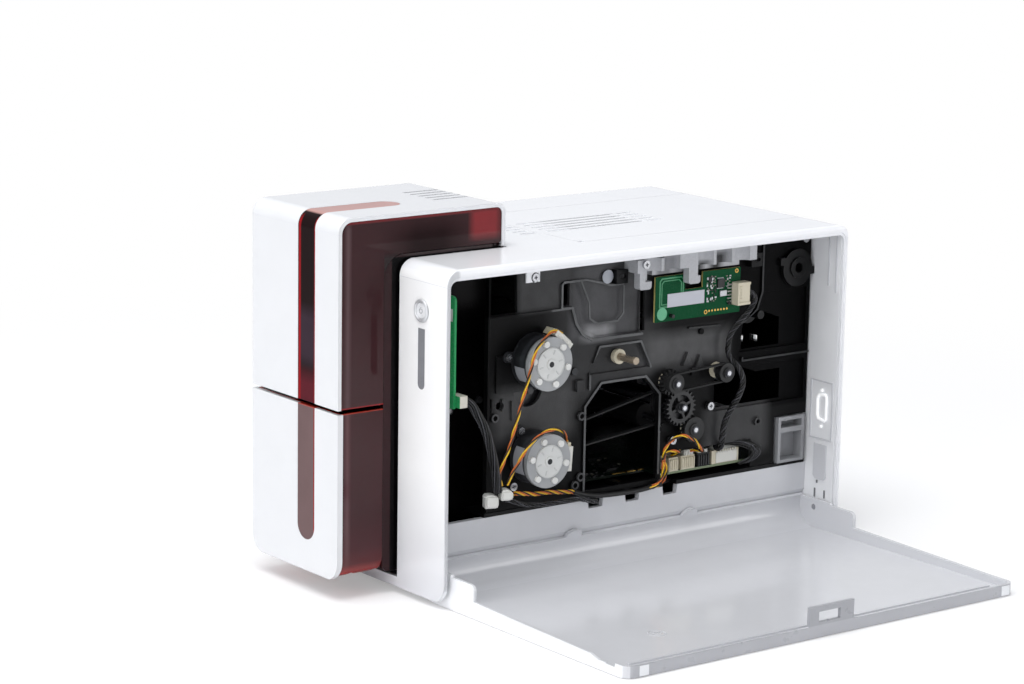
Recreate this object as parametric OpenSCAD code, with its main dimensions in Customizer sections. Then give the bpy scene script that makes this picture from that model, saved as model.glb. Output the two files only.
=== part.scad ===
// Desktop plastic-card printer: white case, tinted card feeder and hopper, fold-down side door.
// X runs across the machine (+X is the door side), Y from front (-) to back (+), Z up.
// The origin is in the middle of the footprint, on the surface that the machine stands on.

/* [Case] */
// Width of the case
body_w = 205; // [203:0.5:210]
// Distance from the front of the feeder to the back of the case
body_len = 381; // [378:0.5:386]
// Height of the case roof
body_top = 218; // [217:0.5:220]
// Height to the top of the card feeder
feeder_top = 247; // [246:0.5:250]
// How far the feeder and hopper stand in front of the case
feeder_reach = 45.6; // [44:0.2:48]
// Height of the rubber feet
foot_h = 3.6; // [3:0.1:4]
// Thickness of the moulded case walls
wall = 2.9; // [2.5:0.1:3.2]
// Radius of the case's lower long edges
low_corner = 15; // [12:0.5:16]

/* [Feeder and hopper] */
// Width of the feeder and hopper covers
cover_w = 99; // [97:0.5:100]
// Distance from the front of the feeder to its back edge
feeder_len = 129.1; // [128:0.1:130]
// Height of the joint between feeder cover and hopper
split_z = 124.2; // [123:0.1:125]
// Underside of the hopper
hopper_low = 13.2; // [13:0.1:15]
// Thickness of the white wrap
wrap = 2.6; // [2.4:0.1:2.8]
// Width of the sight window in the covers
sight_w = 19.4; // [16:0.2:20]
// Middle of the sight window across the machine
sight_x = 13.5; // [0:0.5:16]

/* [Side door] */
// Height of the door hinge above the table
hinge_z = 17.5; // [17.5:0.1:18]
// Distance of the door hinge from the machine's middle
hinge_x = 85.1; // [85:0.1:85.6]
// Outer radius of the door's rolled hinge edge
roll_r = 17; // [16.8:0.1:17]
// Length of the flat part of the door, from hinge to far edge
door_len = 191.4; // [190:0.2:192]
// Height of the door's edge lips
door_lip = 8; // [7:0.5:9]
// Thickness of the door panel
door_t = 2.6; // [2.4:0.1:2.8]

/* [Mechanism] */
// Outer face of the two chassis plates, from the machine's middle
plate_x = 71; // [70.8:0.1:71.2]
// Thickness of the chassis plates
plate_t = 2.5; // [2.5:0.1:3]
// Height of the card path
card_z = 128; // [128:0.1:128.2]
// Diameter of the stepper motors
motor_d = 35; // [34:0.5:36]
// Length of the stepper motors outside the chassis
motor_len = 19.4; // [18:0.2:20]
// Gear module
gear_m = 1; // [1:0.01:1]
// Diameter of the roller shafts
shaft_d = 5; // [4.8:0.1:5]

/* [Lid] */
// Width of the top lid
lid_w = 122; // [120:0.5:122]
// Front edge of the top lid
lid_front = -8.7; // [-9:0.1:-8]
// Thickness of the lid
lid_t = 3; // [2.6:0.1:3.2]

/* [Hidden] */
$fn = 48;
eps = 0.01;
hw = body_w / 2;
back_y = body_len / 2;
feeder_front = -back_y;
body_front = feeder_front + feeder_reach;
feeder_back = feeder_front + feeder_len;
bridge_front = feeder_back + 1.6;
inner_front = body_front + wall;
hc = cover_w / 2;
recess_x = hc + 1;
shaft_r = shaft_d / 2;
run = 0.05;
roof_t = 3;
roof_under = body_top - roof_t;
rear_in = back_y - 3.1;
rear_out = back_y - 0.5;
rim_low = body_top - 7;
tray_top = 46.5;
plate_in = plate_x - plate_t;
door_y0 = -139;
door_y1 = rear_in - 1;
door_x1 = hinge_x + door_len;
door_top = hinge_z + door_len;
lid_hinge = [171.5, 185.8];
lid_skirt_z = 176.5;
cover_hinge = [feeder_back - 2.1, body_top + 3];
button_pos = [75, 189];
platen = [57.6, 119.6];
main_gear = [66.6, 101.7];
out_roller = [77.8, 85.1];
rear_roller = [102, 122];
ribbon_axis = [16.7, 141];
supply_axis = [140, 156];
upper_motor_yz = [-54.3, 147.1];
lower_motor_yz = [-54.3, 83.2];
feed_gear = [-54.3, 126.1];
ribbon_motor_yz = [16.7, 117];
feed_idler = [-80.4, 119.2];
feed_axis = [-104, 114.8];
clean_axis = [-20, 134.9];
head_pivot = [88, 150];
gear_x = 74;
pulley_x = 79;
board_z = 53.4;
board_post_x = [-50, 48];
screw_r = 1.5;

// ---- plain helpers ----

// Extrudes a (Y, Z) outline from x0 to x1.
module along_x(x0, x1) {
    translate([x0, 0, 0])
        rotate([90, 0, 90])
            linear_extrude(x1 - x0)
                children();
}

// Extrudes an (X, Z) outline from y0 to y1.
module along_y(y0, y1) {
    translate([0, y1, 0])
        rotate([90, 0, 0])
            linear_extrude(y1 - y0)
                children();
}

// A box given by its lowest and highest corner.
module box(lo, hi) {
    translate(lo)
        cube(hi - lo);
}

// A round bar along X at (y, z).
module bar_x(yz, r, x0, x1) {
    translate([x0, yz[0], yz[1]])
        rotate([0, 90, 0])
            cylinder(r = r, h = x1 - x0);
}

// What is cut off one corner of an outline; (sx, sy) points into the outline.
module corner_bite(x, y, sx, sy, r) {
    if (r > 0)
        translate([x, y])
            difference() {
                translate([sx > 0 ? -1 : -r, sy > 0 ? -1 : -r])
                    square(r + 1);
                translate([sx * r, sy * r])
                    circle(r);
            }
}

// A rectangle with its own radius at each corner: low left, low right, high right, high left.
module round_rect(x0, x1, y0, y1, ll = 0, lr = 0, hr = 0, hl = 0) {
    difference() {
        translate([x0, y0])
            square([x1 - x0, y1 - y0]);
        corner_bite(x0, y0, 1, 1, ll);
        corner_bite(x1, y0, -1, 1, lr);
        corner_bite(x1, y1, -1, -1, hr);
        corner_bite(x0, y1, 1, -1, hl);
    }
}

// A band of width w along a chain of points.
module rib(points, w) {
    for (i = [0 : len(points) - 2]) {
        a = points[i];
        b = points[i + 1];
        translate(a)
            rotate(atan2(b[1] - a[1], b[0] - a[0]))
                translate([0, -w / 2])
                    square([norm(b - a), w]);
        translate(b)
            circle(0.48 * w);
    }
    translate(points[0])
        circle(0.48 * w);
}

// Spur gear outline with slim teeth, so that a meshed pair has backlash.
module gear_outline(teeth, phase = 0) {
    root_r = (teeth / 2 - 1.2) * gear_m;
    tip_r = (teeth / 2 + 0.8) * gear_m;
    step = 360 / teeth;
    circle(root_r);
    for (i = [0 : teeth - 1])
        rotate(phase + i * step)
            polygon([
                [root_r - 0.4, -0.95 * gear_m], [tip_r, -0.32 * gear_m],
                [tip_r, 0.32 * gear_m], [root_r - 0.4, 0.95 * gear_m]]);
}

// A spur gear around an X axis at (y, z).
module gear_x_axis(yz, teeth, x0, x1, bore_r, phase = 0) {
    along_x(x0, x1)
        translate(yz)
            difference() {
                gear_outline(teeth, phase);
                if (bore_r > 0)
                    circle(bore_r);
            }
}

// A pan-head screw pointing along -X, head outside at x.
module screw_x(yz, x, head_r = 2.8, length = 6) {
    difference() {
        bar_x(yz, head_r, x, x + 1.8);
        translate([x + 1, yz[0], yz[1]]) {
            cube([3, 0.8, 2.6], center = true);
            cube([3, 2.6, 0.8], center = true);
        }
    }
    bar_x(yz, screw_r, x - length, x + 0.2);
}

// ---- case ----

module case_side() {
    round_rect(body_front, back_y, foot_h, body_top, 2, 2, 8, 10.5);
}

module case_front(inset = 0) {
    round_rect(-hw + inset, hw - inset, foot_h + inset, body_top - inset,
        low_corner - inset, low_corner - inset, 3, 3);
}

// Outline of the roof grooves at x, from y0 to y1.
module groove(x, y0, y1, w) {
    translate([x, 0])
        round_rect(-w / 2, w / 2, y0, y1, w / 2 - eps, w / 2 - eps, w / 2 - eps, w / 2 - eps);
}

vent_rows = [for (i = [-2 : 2]) i * 8.3];
vent_w = 2.6;
status_x = [71, 78.4];
status_z = [138.6, 177.6];
left_open = [-126, 172, 22, 203];

module body_shell() {
    color("white")
        difference() {
            union() {
                difference() {
                    intersection() {
                        along_x(-hw, hw)
                            case_side();
                        along_y(body_front, back_y)
                            case_front();
                    }
                    // hollow, open at the back
                    intersection() {
                        along_y(inner_front, back_y + 1)
                            round_rect(-hw + wall, hw - wall, foot_h + wall, roof_under,
                                low_corner - wall, low_corner - wall, 0, 0);
                        along_x(-hw, hw)
                            round_rect(inner_front, back_y + 2, 0, roof_under, 0, 0, 0, 7.6);
                    }
                    // open floor between the lower corners
                    box([-hw + low_corner, inner_front, 0], [plate_x, back_y + 1, foot_h + wall + 1]);
                }
                // returns along the inner edges of the two front strips
                for (s = [-1, 1])
                    box([s > 0 ? recess_x : -recess_x - 2.2, body_front + 0.5, 11],
                        [s > 0 ? recess_x + 2.2 : -recess_x, body_front + 9, body_top - 8]);
                // catch under the roof for the closed door's latch loop
                box([85.5, 16, door_top + 0.5], [97, 29, roof_under + 1]);
                // ledges under the roof beside the lid
                for (s = [-1, 1])
                    box([s > 0 ? lid_w / 2 + 0.5 : -lid_w / 2 - 2.5, lid_front + 2, roof_under - 3],
                        [s > 0 ? lid_w / 2 + 2.5 : -lid_w / 2 - 0.5, rear_in - 3, roof_under + 1]);
            }
            // service opening on the door side
            along_x(plate_x, hw + 1)
                round_rect(inner_front, rear_in + 0.6, 0, rim_low, 0, 0, 5, 5);
            // rebate round that opening
            along_x(hw - 1.1, hw + 1)
                round_rect(inner_front - 1.2, rear_in + 1.8, 0, rim_low + 2, 0, 0, 6, 6);
            // recess for feeder and hopper
            box([-recess_x, body_front - 1, 11], [recess_x, inner_front + 7, body_top + 1]);
            box([-recess_x, inner_front, roof_under - 1], [recess_x, bridge_front, body_top + 1]);
            // opening for the lid
            box([-lid_w / 2 - 0.4, lid_front - 0.4, roof_under - 1],
                [lid_w / 2 + 0.4, back_y + 1, body_top + 1]);
            // opening for the left cover
            along_x(-hw - 1, -hw + wall + 1)
                round_rect(left_open[0], left_open[1], left_open[2], left_open[3], 6, 6, 6, 6);
            // seats for button, status window and door pin
            translate([button_pos[0], inner_front + 1, button_pos[1]])
                rotate([90, 0, 0])
                    cylinder(r = 7.1, h = wall + 3);
            along_y(body_front - 1, inner_front + 1)
                round_rect(status_x[0], status_x[1], status_z[0], status_z[1], 3.6, 3.6, 0.4, 0.4);
            translate([hinge_x, inner_front + 1, hinge_z])
                rotate([90, 0, 0])
                    cylinder(r = 2 + run, h = 3.1);
            // short grooves in the roof bridge
            for (x = vent_rows)
                translate([0, 0, body_top - 0.8])
                    linear_extrude(2)
                        groove(x, -24, -11, vent_w);
        }
}

module base_tray() {
    color("gainsboro")
        difference() {
            union() {
                box([-hw + low_corner + 0.3, inner_front + 0.2, foot_h],
                    [plate_x, rear_in - 0.2, foot_h + 2.6]);
                box([plate_x - 4, inner_front + 0.2, foot_h], [plate_x, rear_in - 0.2, tray_top]);
                box([-plate_x, inner_front + 0.2, foot_h], [-plate_x + 4, rear_in - 0.2, tray_top]);
                for (y = [-60, 20, 100, 160])
                    box([-60, y, foot_h], [60, y + 2, 16]);
            }
            // battlements in the door-side wall
            for (y = [[-6, 7.5], [25.5, 38.5], [58, 71.5]])
                along_x(plate_x - 5, plate_x + 1)
                    polygon([[y[0] + 1, 40.5], [y[1] - 1, 40.5], [y[1], 48], [y[0], 48]]);
            // trough for the rolled edge of the door
            translate([hinge_x, back_y, hinge_z])
                rotate([90, 0, 0])
                    cylinder(r = roll_r + 0.3, h = body_len);
            // cable slots in the far wall
            for (y = [-40, 60])
                box([-plate_x - 1, y, 30], [-plate_x + 5, y + 20, 48]);
        }
}

module rear_panel() {
    color("gainsboro")
        difference() {
            along_y(rear_in, rear_out)
                round_rect(-hw + wall + 0.2, hw - wall - 0.2, foot_h + wall + 0.2, roof_under - 0.2,
                    low_corner - wall, low_corner - wall, 2, 2);
            // room for the lid's back skirt
            box([-lid_w / 2 - 0.6, rear_in - 1, 170], [lid_w / 2 + 0.6, back_y, body_top]);
            // sockets
            box([-52.3, rear_in - 1, 54.6], [-35.7, back_y, 70.4]);
            box([-30.3, rear_in - 1, 54.6], [-17.7, back_y, 67.4]);
            translate([-4, back_y, 62])
                rotate([90, 0, 0])
                    cylinder(r = 5.2, h = 8);
            // cooling slots
            for (i = [0 : 7])
                box([-60 + i * 6, rear_in - 1, 90], [-57 + i * 6, back_y, 130]);
            for (x = [-2, 13])
                box([x, rear_in - 1, x / 5 + 121], [x + 8, back_y, x / 5 + 125.6]);
            // pin hole of the door
            translate([hinge_x, rear_in + 2.1, hinge_z])
                rotate([90, 0, 0])
                    cylinder(r = 2 + run, h = 4);
        }
}

module left_cover() {
    color("white")
        union() {
            along_x(-hw + 0.1, -hw + wall)
                round_rect(left_open[0] + 0.4, left_open[1] - 0.4, left_open[2] + 0.4, left_open[3] - 0.4,
                    5.6, 5.6, 5.6, 5.6);
            along_x(-hw + wall, -hw + wall + 1.8)
                round_rect(left_open[0] - 6, left_open[1] + 6, left_open[2] - 3, left_open[3] + 5,
                    3, 3, 5, 5);
        }
}

module rubber_feet() {
    color("dimgray")
        for (x = [-76, 58], y = [-122, 164])
            translate([x, y, 0])
                cylinder(r = 8, h = foot_h);
}

// ---- side door, lying open ----

module door_section() {
    // flat panel
    translate([hinge_x, hinge_z - roll_r])
        square([door_len, door_t]);
    // rolled hinge edge
    translate([hinge_x, hinge_z])
        intersection() {
            difference() {
                circle(roll_r);
                circle(roll_r - door_t);
            }
            polygon([[0, 0], [0, -30], [-30, -30], [-30, 30 * tan(24)]]);
        }
}

module door_ear(y0, y1) {
    along_y(y0, y1)
        union() {
            translate([hinge_x, hinge_z])
                intersection() {
                    circle(roll_r);
                    translate([-30, -30])
                        square([60, 35.7]);
                }
            round_rect(hinge_x, hinge_x + 12, 1, 23.4, 0, 0, 2, 0);
            round_rect(hinge_x, hinge_x + 40, 1, 21.7, 0, 0, 4, 0);
            polygon([[hinge_x + 30, 1], [door_x1 - 9, 1], [door_x1 - 20, door_lip],
                [hinge_x + 30, door_lip + 3.4]]);
        }
}

module side_door() {
    low = hinge_z - roll_r;
    color("gainsboro")
        difference() {
            union() {
                intersection() {
                    along_y(door_y0, door_y1)
                        door_section();
                    translate([0, 0, -5])
                        linear_extrude(60)
                            round_rect(0, door_x1, door_y0, door_y1, 0, 8, 8, 0);
                }
                // lips round three edges
                translate([0, 0, low])
                    linear_extrude(door_lip - low)
                        difference() {
                            round_rect(hinge_x, door_x1, door_y0, door_y1, 0, 8, 8, 0);
                            round_rect(0, door_x1 - 2.4, door_y0 + 2.4, door_y1 - 2.4, 0, 5.6, 5.6, 0);
                        }
                door_ear(door_y0, door_y0 + 2.6);
                door_ear(door_y1 - 2.6, door_y1);
                // latch loop on the far lip
                box([door_x1 - 2.4, 6, low], [door_x1, 43, 20.6]);
                // stiffening ledge inside the far lip
                box([door_x1 - 14, door_y0 + 12, low], [door_x1 - 11.6, door_y1 - 12, low + 5]);
                // half-round tabs on the rolled edge
                intersection() {
                    translate([hinge_x, back_y, hinge_z])
                        rotate([90, 0, 0])
                            difference() {
                                cylinder(r = roll_r, h = body_len);
                                translate([0, 0, -1])
                                    cylinder(r = roll_r - door_t, h = body_len + 2);
                            }
                    for (y = [-18, 82])
                        translate([hinge_x - 20, y, hinge_z + 4.6])
                            rotate([0, 90, 0])
                                cylinder(r = 7, h = 12);
                }
            }
            // window of the latch loop
            box([door_x1 - 4, 13.6, 10.4], [door_x1 + 1, 31.6, 16.9]);
            // notch in the front lip
            translate([door_x1, 0])
                along_y(door_y0 - 1, door_y0 + 3)
                    polygon([[-36, 8.4], [-27, 6.2], [-20, 6.2], [-20, 5.6], [-11, 5.6], [-10, 12], [-36, 12]]);
            // pivot holes
            for (y = [door_y0 - 1, door_y1 - 3.6])
                translate([hinge_x, y + 4.6, hinge_z])
                    rotate([90, 0, 0])
                        cylinder(r = 2, h = 4.6);
        }
}

module door_hinge_pins() {
    color("silver") {
        translate([hinge_x, door_y0 + 2.6, hinge_z])
            rotate([90, 0, 0])
                cylinder(r = 2, h = 7.2);
        translate([hinge_x, door_y1 + 2.8, hinge_z])
            rotate([90, 0, 0])
                cylinder(r = 2, h = 5.4);
    }
}

// ---- top lid ----

module top_lid() {
    color("white")
        difference() {
            union() {
                difference() {
                    intersection() {
                        along_x(-lid_w / 2, lid_w / 2)
                            round_rect(lid_front, back_y, lid_skirt_z, body_top, 0, 0, 8, 0);
                        translate([0, 0, lid_skirt_z - 1])
                            linear_extrude(60)
                                round_rect(-lid_w / 2, lid_w / 2, lid_front, back_y, 1, 1, 1, 1);
                    }
                    along_x(-lid_w, lid_w)
                        round_rect(lid_front - 1, back_y - 2.6, 0, body_top - lid_t, 0, 0, 5.4, 0);
                }
                // gooseneck arms
                for (x = [-60, 57])
                    along_x(x, x + 3)
                        union() {
                            translate([lid_hinge[0] - 9, lid_hinge[1]])
                                square([18, body_top - lid_t - lid_hinge[1] + 1]);
                            translate(lid_hinge)
                                circle(9);
                        }
                // front stiffener
                box([-lid_w / 2 + 6, lid_front + 0.1, body_top - lid_t - 4],
                    [lid_w / 2 - 6, lid_front + 2.4, body_top - lid_t + 0.5]);
            }
            bar_x(lid_hinge, 4 + run, -lid_w, lid_w);
            // cooling slots, shallow at both ends and open in the middle
            for (x = vent_rows) {
                translate([0, 0, body_top - 0.8])
                    linear_extrude(2)
                        union() {
                            groove(x, -2, 81.6, vent_w);
                            groove(x, 84, 97, vent_w);
                        }
                translate([0, 0, body_top - lid_t - 1])
                    linear_extrude(lid_t + 2)
                        groove(x, 18, 80.6, vent_w);
            }
            // finger notch in the door-side front corner
            translate([lid_w / 2 - 3, lid_front + 1, body_top + 0.8])
                rotate([0, 90, 0])
                    cylinder(r = 3, h = 6);
        }
}

module lid_hinge_discs() {
    color("dimgray")
        for (s = [0, 1])
            mirror([s, 0, 0])
                difference() {
                    union() {
                        bar_x(lid_hinge, 4, 55.5, plate_x);
                        bar_x(lid_hinge, 13, plate_x, plate_x + 3);
                        bar_x(lid_hinge, 7, plate_x, plate_x + 4.2);
                        for (t = [[-13, 5], [13, -3]])
                            box([plate_x, lid_hinge[0] + t[0] - 2.4, lid_hinge[1] + t[1] - 2.6],
                                [plate_x + 3, lid_hinge[0] + t[0] + 2.4, lid_hinge[1] + t[1] + 2.6]);
                    }
                    bar_x(lid_hinge, 3.4, plate_x - 2, plate_x + 6);
                }
}

// ---- feeder cover and hopper ----

// Side outline of the feeder cover, inset by d.
module feeder_side(d) {
    round_rect(feeder_front + d, feeder_back - d, split_z + 1 - (d > 0 ? 1 : 0), feeder_top - d,
        0, 0, 7 - d, 10 - d);
}

// The part of it below the cover's side panels, filled by case and housing.
module feeder_below(d) {
    round_rect(body_front - 10.6 - d, feeder_back + 5, split_z - 10, body_top + 3 - d, 0, 0, 0, 15);
}

sight = [sight_x - sight_w / 2, sight_x + sight_w / 2];

module feeder_shell() {
    color("white")
        difference() {
            along_x(-hc, hc)
                difference() {
                    feeder_side(0);
                    feeder_side(wrap);
                    // open underneath, behind the front wall
                    translate([feeder_front + wrap, split_z - 5])
                        square([feeder_len - 2 * wrap - 0.2, body_top - split_z - 10]);
                    translate([feeder_back - wrap - 1, split_z - 5])
                        square([10, body_top + 0.6 - split_z + 5]);
                }
            // sight slot up the front and over the top
            box([sight[0], feeder_front - 1, split_z], [sight[1], feeder_front + 12, feeder_top + 1]);
            translate([0, 0, feeder_top - 12])
                linear_extrude(14)
                    groove(sight_x, feeder_front - 20, -121, sight_w);
            // cooling slots in the top
            for (x = vent_rows)
                translate([0, 0, feeder_top - wrap - 1])
                    linear_extrude(wrap + 2)
                        groove(x, -95.6, -66, vent_w);
            // room for the hinge ears and their pins
            for (x = [-46.6, 42.8])
                box([x, feeder_back - 8, body_top - 5], [x + 3.8, feeder_back + 1, body_top + 7.6]);
            for (x = [-48.8, 42])
                bar_x(cover_hinge, 1.6, x, x + 6.8);
        }
}

module feeder_tint() {
    panel_in = hc - 3.2;
    panel_out = hc - 0.7;
    liner = 1.6;
    color([0.42, 0.03, 0.05, 0.6])
        difference() {
            union() {
                // side panels
                for (s = [0, 1])
                    mirror([s, 0, 0])
                        along_x(panel_in, panel_out)
                            difference() {
                                feeder_side(wrap);
                                translate([0, 0])
                                    feeder_below(0);
                                translate([feeder_front, split_z - 2])
                                    square([80, 3.2]);
                            }
                // liner behind the front wall and under the top
                along_x(-panel_in - eps, panel_in + eps)
                    difference() {
                        feeder_side(wrap);
                        feeder_side(wrap + liner);
                        translate([feeder_front + 20, split_z - 2])
                            square([feeder_len, 120 - 4]);
                        translate([-110, split_z - 2])
                            square([60, 140]);
                        translate([feeder_front, split_z - 2])
                            square([80, 3.2]);
                    }
                // sight window, flush with the white wrap
                intersection() {
                    along_x(sight[0] + 0.05, sight[1] - 0.05)
                        difference() {
                            feeder_side(0.1);
                            feeder_side(wrap + eps);
                            translate([feeder_front, split_z - 2])
                                square([80, 3.2]);
                        }
                    union() {
                        box([0, feeder_front - 1, split_z], [40, feeder_front + 12, feeder_top - 11.9]);
                        translate([0, 0, feeder_top - 12])
                            linear_extrude(14)
                                groove(sight_x, feeder_front - 20, -121.1, sight_w - 0.1);
                    }
                }
            }
            bar_x(cover_hinge, 1.5 + run, -60, 60);
        }
}

module feeder_hinge_pins() {
    color("silver")
        for (s = [0, 1])
            mirror([s, 0, 0])
                bar_x(cover_hinge, 1.5, 42.5, hc - 1);
}

// Side outline of the hopper cover, inset by d.
module hopper_side(d) {
    round_rect(feeder_front + d, body_front - 10.6, hopper_low + d, split_z - 1.7, 4, 0, 0, 0);
}

module hopper_shell() {
    color("white")
        difference() {
            intersection() {
                along_x(-hc, hc)
                    round_rect(feeder_front, feeder_front + 4, hopper_low, split_z - 1.7, 2, 0, 0, 0);
                along_y(feeder_front - 1, body_front)
                    round_rect(-hc, hc, hopper_low, split_z - 1.7, 14, 14, 0, 0);
            }
            along_y(feeder_front + wrap, feeder_front + 10)
                round_rect(-hc + 2.2, hc - 2.2, hopper_low + 2.4, split_z, 12, 12, 0, 0);
            along_y(feeder_front - 1, feeder_front + 8)
                round_rect(sight[0], sight[1], 34.6, split_z + 1, 9.6, 9.6, 0, 0);
        }
}

module hopper_tint() {
    panel_in = hc - 3.2;
    panel_out = hc - 0.7;
    back = body_front - 10.6;
    liner_y = feeder_front + wrap;
    top = split_z - 1.7;
    color([0.42, 0.03, 0.05, 0.6])
        union() {
            difference() {
                // side panels and floor as one trough with rounded lower edges
                along_y(feeder_front + 4, back)
                    difference() {
                        round_rect(-panel_out, panel_out, hopper_low + 1.5, top, 12, 12, 0, 0);
                        round_rect(-panel_in, panel_in, hopper_low + 4, top + 1, 10, 10, 0, 0);
                    }
                // wavy finger lip along the lower edge
                for (y = [back - 2, back - 20, back - 32])
                    translate([-60, y, hopper_low - 1.6])
                        rotate([0, 90, 0])
                            cylinder(r = 5.5, h = 120);
            }
            // liner behind the white front
            along_y(liner_y, feeder_front + 4.2)
                round_rect(-hc + 2.3, hc - 2.3, hopper_low + 2.5, top, 11.9, 11.9, 0, 0);
            // sight window, flush with the white front
            along_y(feeder_front + 0.1, liner_y + eps)
                round_rect(sight[0] + 0.05, sight[1] - 0.05, 34.65, top, 9.6, 9.6, 0, 0);
        }
}

module hopper_tray() {
    color("dimgray")
        difference() {
            union() {
                box([-44.6, feeder_front + 4.4, 24], [44.6, -76, 26.4]);
                for (s = [-1, 1])
                    box([s * 29 - 1, feeder_front + 4.4, 26], [s * 29 + 1, -78, 60]);
                for (x = [-36, 33])
                    box([x, feeder_front + 4.4, hopper_low + 4], [x + 3, body_front - 12, 24.5]);
            }
            // thumb cut-out
            translate([0, feeder_front + 4.4, 20])
                cylinder(r = 16, h = 10);
        }
}

// Black box behind the covers, filling the recess of the case.
module front_housing() {
    wall_in = 45;
    wall_out = 48.3;
    front = body_front - 10.2;
    back = -70.5;
    color([0.07, 0.07, 0.07])
        difference() {
            union() {
                for (s = [0, 1])
                    mirror([s, 0, 0])
                        along_x(wall_in, wall_out)
                            difference() {
                                round_rect(front, back, hopper_low + 2, body_top + 2.6, 5, 0, 0, 14.6);
                            }
                // rails that carry the hopper tray
                for (s = [0, 1])
                    mirror([s, 0, 0])
                        for (z = [20, 26.8])
                            box([43, front + 5, z], [wall_in + 1, back, z + 3.9]);
                // ceiling of the hopper bay, under the magazine
                box([-wall_out, front + 6, 106], [wall_out, back, 108.4]);
                // arm that carries the feed drive shaft
                box([wall_in, back - 1, 120], [wall_out, -48, 132]);
                // back wall with the card outlet
                box([-wall_out, back - 2.4, hopper_low + 2], [wall_out, back, 200]);
                // hinge ears
                for (s = [0, 1])
                    mirror([s, 0, 0])
                        along_x(43.3, 46)
                            union() {
                                translate(cover_hinge)
                                    circle(3.4);
                                polygon([
                                    [cover_hinge[0] - 3.4, cover_hinge[1]],
                                    [cover_hinge[0] + 3.4, cover_hinge[1]],
                                    [cover_hinge[0] + 3.4, 212], [back - 1, 204], [back - 1, 214]]);
                            }
            }
            bar_x(cover_hinge, 1.5, -60, 60);
            // card outlet into the hopper and card way from the magazine
            box([-28, back - 5, 84], [28, back + 1, 98]);
            box([-28, back - 5, 124], [28, back + 1, 136]);
            // window for the feed roller shaft and gears
            box([-35, feed_axis[0] - 14.5, 100], [44, feed_axis[0] + 14.5, 110]);
            box([35.5, -94.5, 100], [44.8, back - 3, 110]);
            for (p = [feed_axis, feed_idler, feed_gear])
                bar_x(p, shaft_r + run, -60, 60);
            box([35.5, back - 3, 104], [45, back + 1, 136]);
        }
}

module card_magazine() {
    floor_z = card_z - 2.6;
    color([0.09, 0.09, 0.09])
        difference() {
            union() {
                box([-44.6, feeder_front + 6, floor_z], [44.6, -73.3, floor_z + 2.6]);
                // side guides
                for (s = [-1, 1])
                    box([s * 29 - 1, feeder_front + 8, floor_z + 2], [s * 29 + 1, -92, 206]);
                // back stop with the card slot below
                box([-30, -93.6, floor_z + 4.6], [30, -92, 206]);
            }
            // windows for the feed roller and its gears
            box([-19, feed_axis[0] - 12, floor_z - 1], [19, feed_axis[0] + 12, floor_z + 3]);
            box([35.5, feed_axis[0] - 14.5, floor_z - 1], [50, -70, floor_z + 3]);
            // guide slot of the pusher lug
            box([-31, -140, floor_z + 6], [-27, -134, 210]);
        }
}

module card_pusher() {
    rest_z = card_z + 0.6;
    color("gray")
        union() {
            box([-27.4, -178, rest_z], [27.4, -97, rest_z + 3]);
            box([-12, -160, rest_z + 2], [12, -115, rest_z + 14]);
            box([-33, -138.6, rest_z + 5.4], [-27, -135.4, rest_z + 11]);
            box([-28, -138.6, rest_z + 2.5], [-20, -135.4, rest_z + 11]);
        }
}

module feed_roller() {
    color("dimgray")
        union() {
            bar_x(feed_axis, shaft_r, -50, 50);
            bar_x(feed_axis, 13.6, -15, 15);
            gear_x_axis(feed_axis, 24, 37, 43, 0, feed_phase);
        }
}

// Angle of the line from gear a to gear b, in the (Y, Z) plane.
function mesh_angle(a, b) = atan2(b[1] - a[1], b[0] - a[0]);

// Phase that meshes gear b, of nb teeth, with gear a, of na teeth at phase pa.
function mesh_phase(a, na, pa, b, nb) =
    let (d = mesh_angle(a, b)) d + 180 - 180 / nb + na / nb * (d - pa);

idler_phase = mesh_phase(feed_gear, 30, 0, feed_idler, 24);
feed_phase = mesh_phase(feed_idler, 24, idler_phase, feed_axis, 24);
platen_phase = mesh_phase(main_gear, 24, 0, platen, 16);
output_phase = mesh_phase(main_gear, 24, 0, out_roller, 16);
upper_phase = mesh_phase(feed_gear, 30, 0, upper_motor_yz, 12);
ribbon_phase = mesh_phase(ribbon_axis, 36, 0, ribbon_motor_yz, 12);

module feed_idler_gear() {
    color("dimgray")
        union() {
            gear_x_axis(feed_idler, 24, 37, 43, 0, idler_phase);
            bar_x(feed_idler, shaft_r, 36, 50);
        }
}

module feed_drive_gear() {
    color("dimgray")
        union() {
            gear_x_axis(feed_gear, 30, 60, 66, 0, 0);
            gear_x_axis(feed_gear, 30, 37, 43, 0, 0);
            bar_x(feed_gear, shaft_r, 36, plate_in + 1.5);
        }
}

// ---- controls ----

module power_button() {
    color("gainsboro")
        union() {
            translate([button_pos[0], body_front + 3.4, button_pos[1]])
                rotate([90, 0, 0])
                    cylinder(r = 5, h = 4.2);
            translate([button_pos[0], -136, button_pos[1]])
                rotate([90, 0, 0])
                    cylinder(r = 1.6, h = 6);
        }
}

module button_ring() {
    color("silver")
        translate([button_pos[0], inner_front, button_pos[1]])
            rotate([90, 0, 0])
                difference() {
                    cylinder(r = 7, h = wall + 0.6);
                    translate([0, 0, -1])
                        cylinder(r = 5.1, h = wall + 3);
                }
}

module status_window() {
    color("gray")
        along_y(body_front + 0.1, inner_front + 2)
            round_rect(status_x[0] + 0.05, status_x[1] - 0.05, status_z[0] + 0.05, status_z[1] - 0.05,
                3.5, 3.5, 0.4, 0.4);
}

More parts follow.
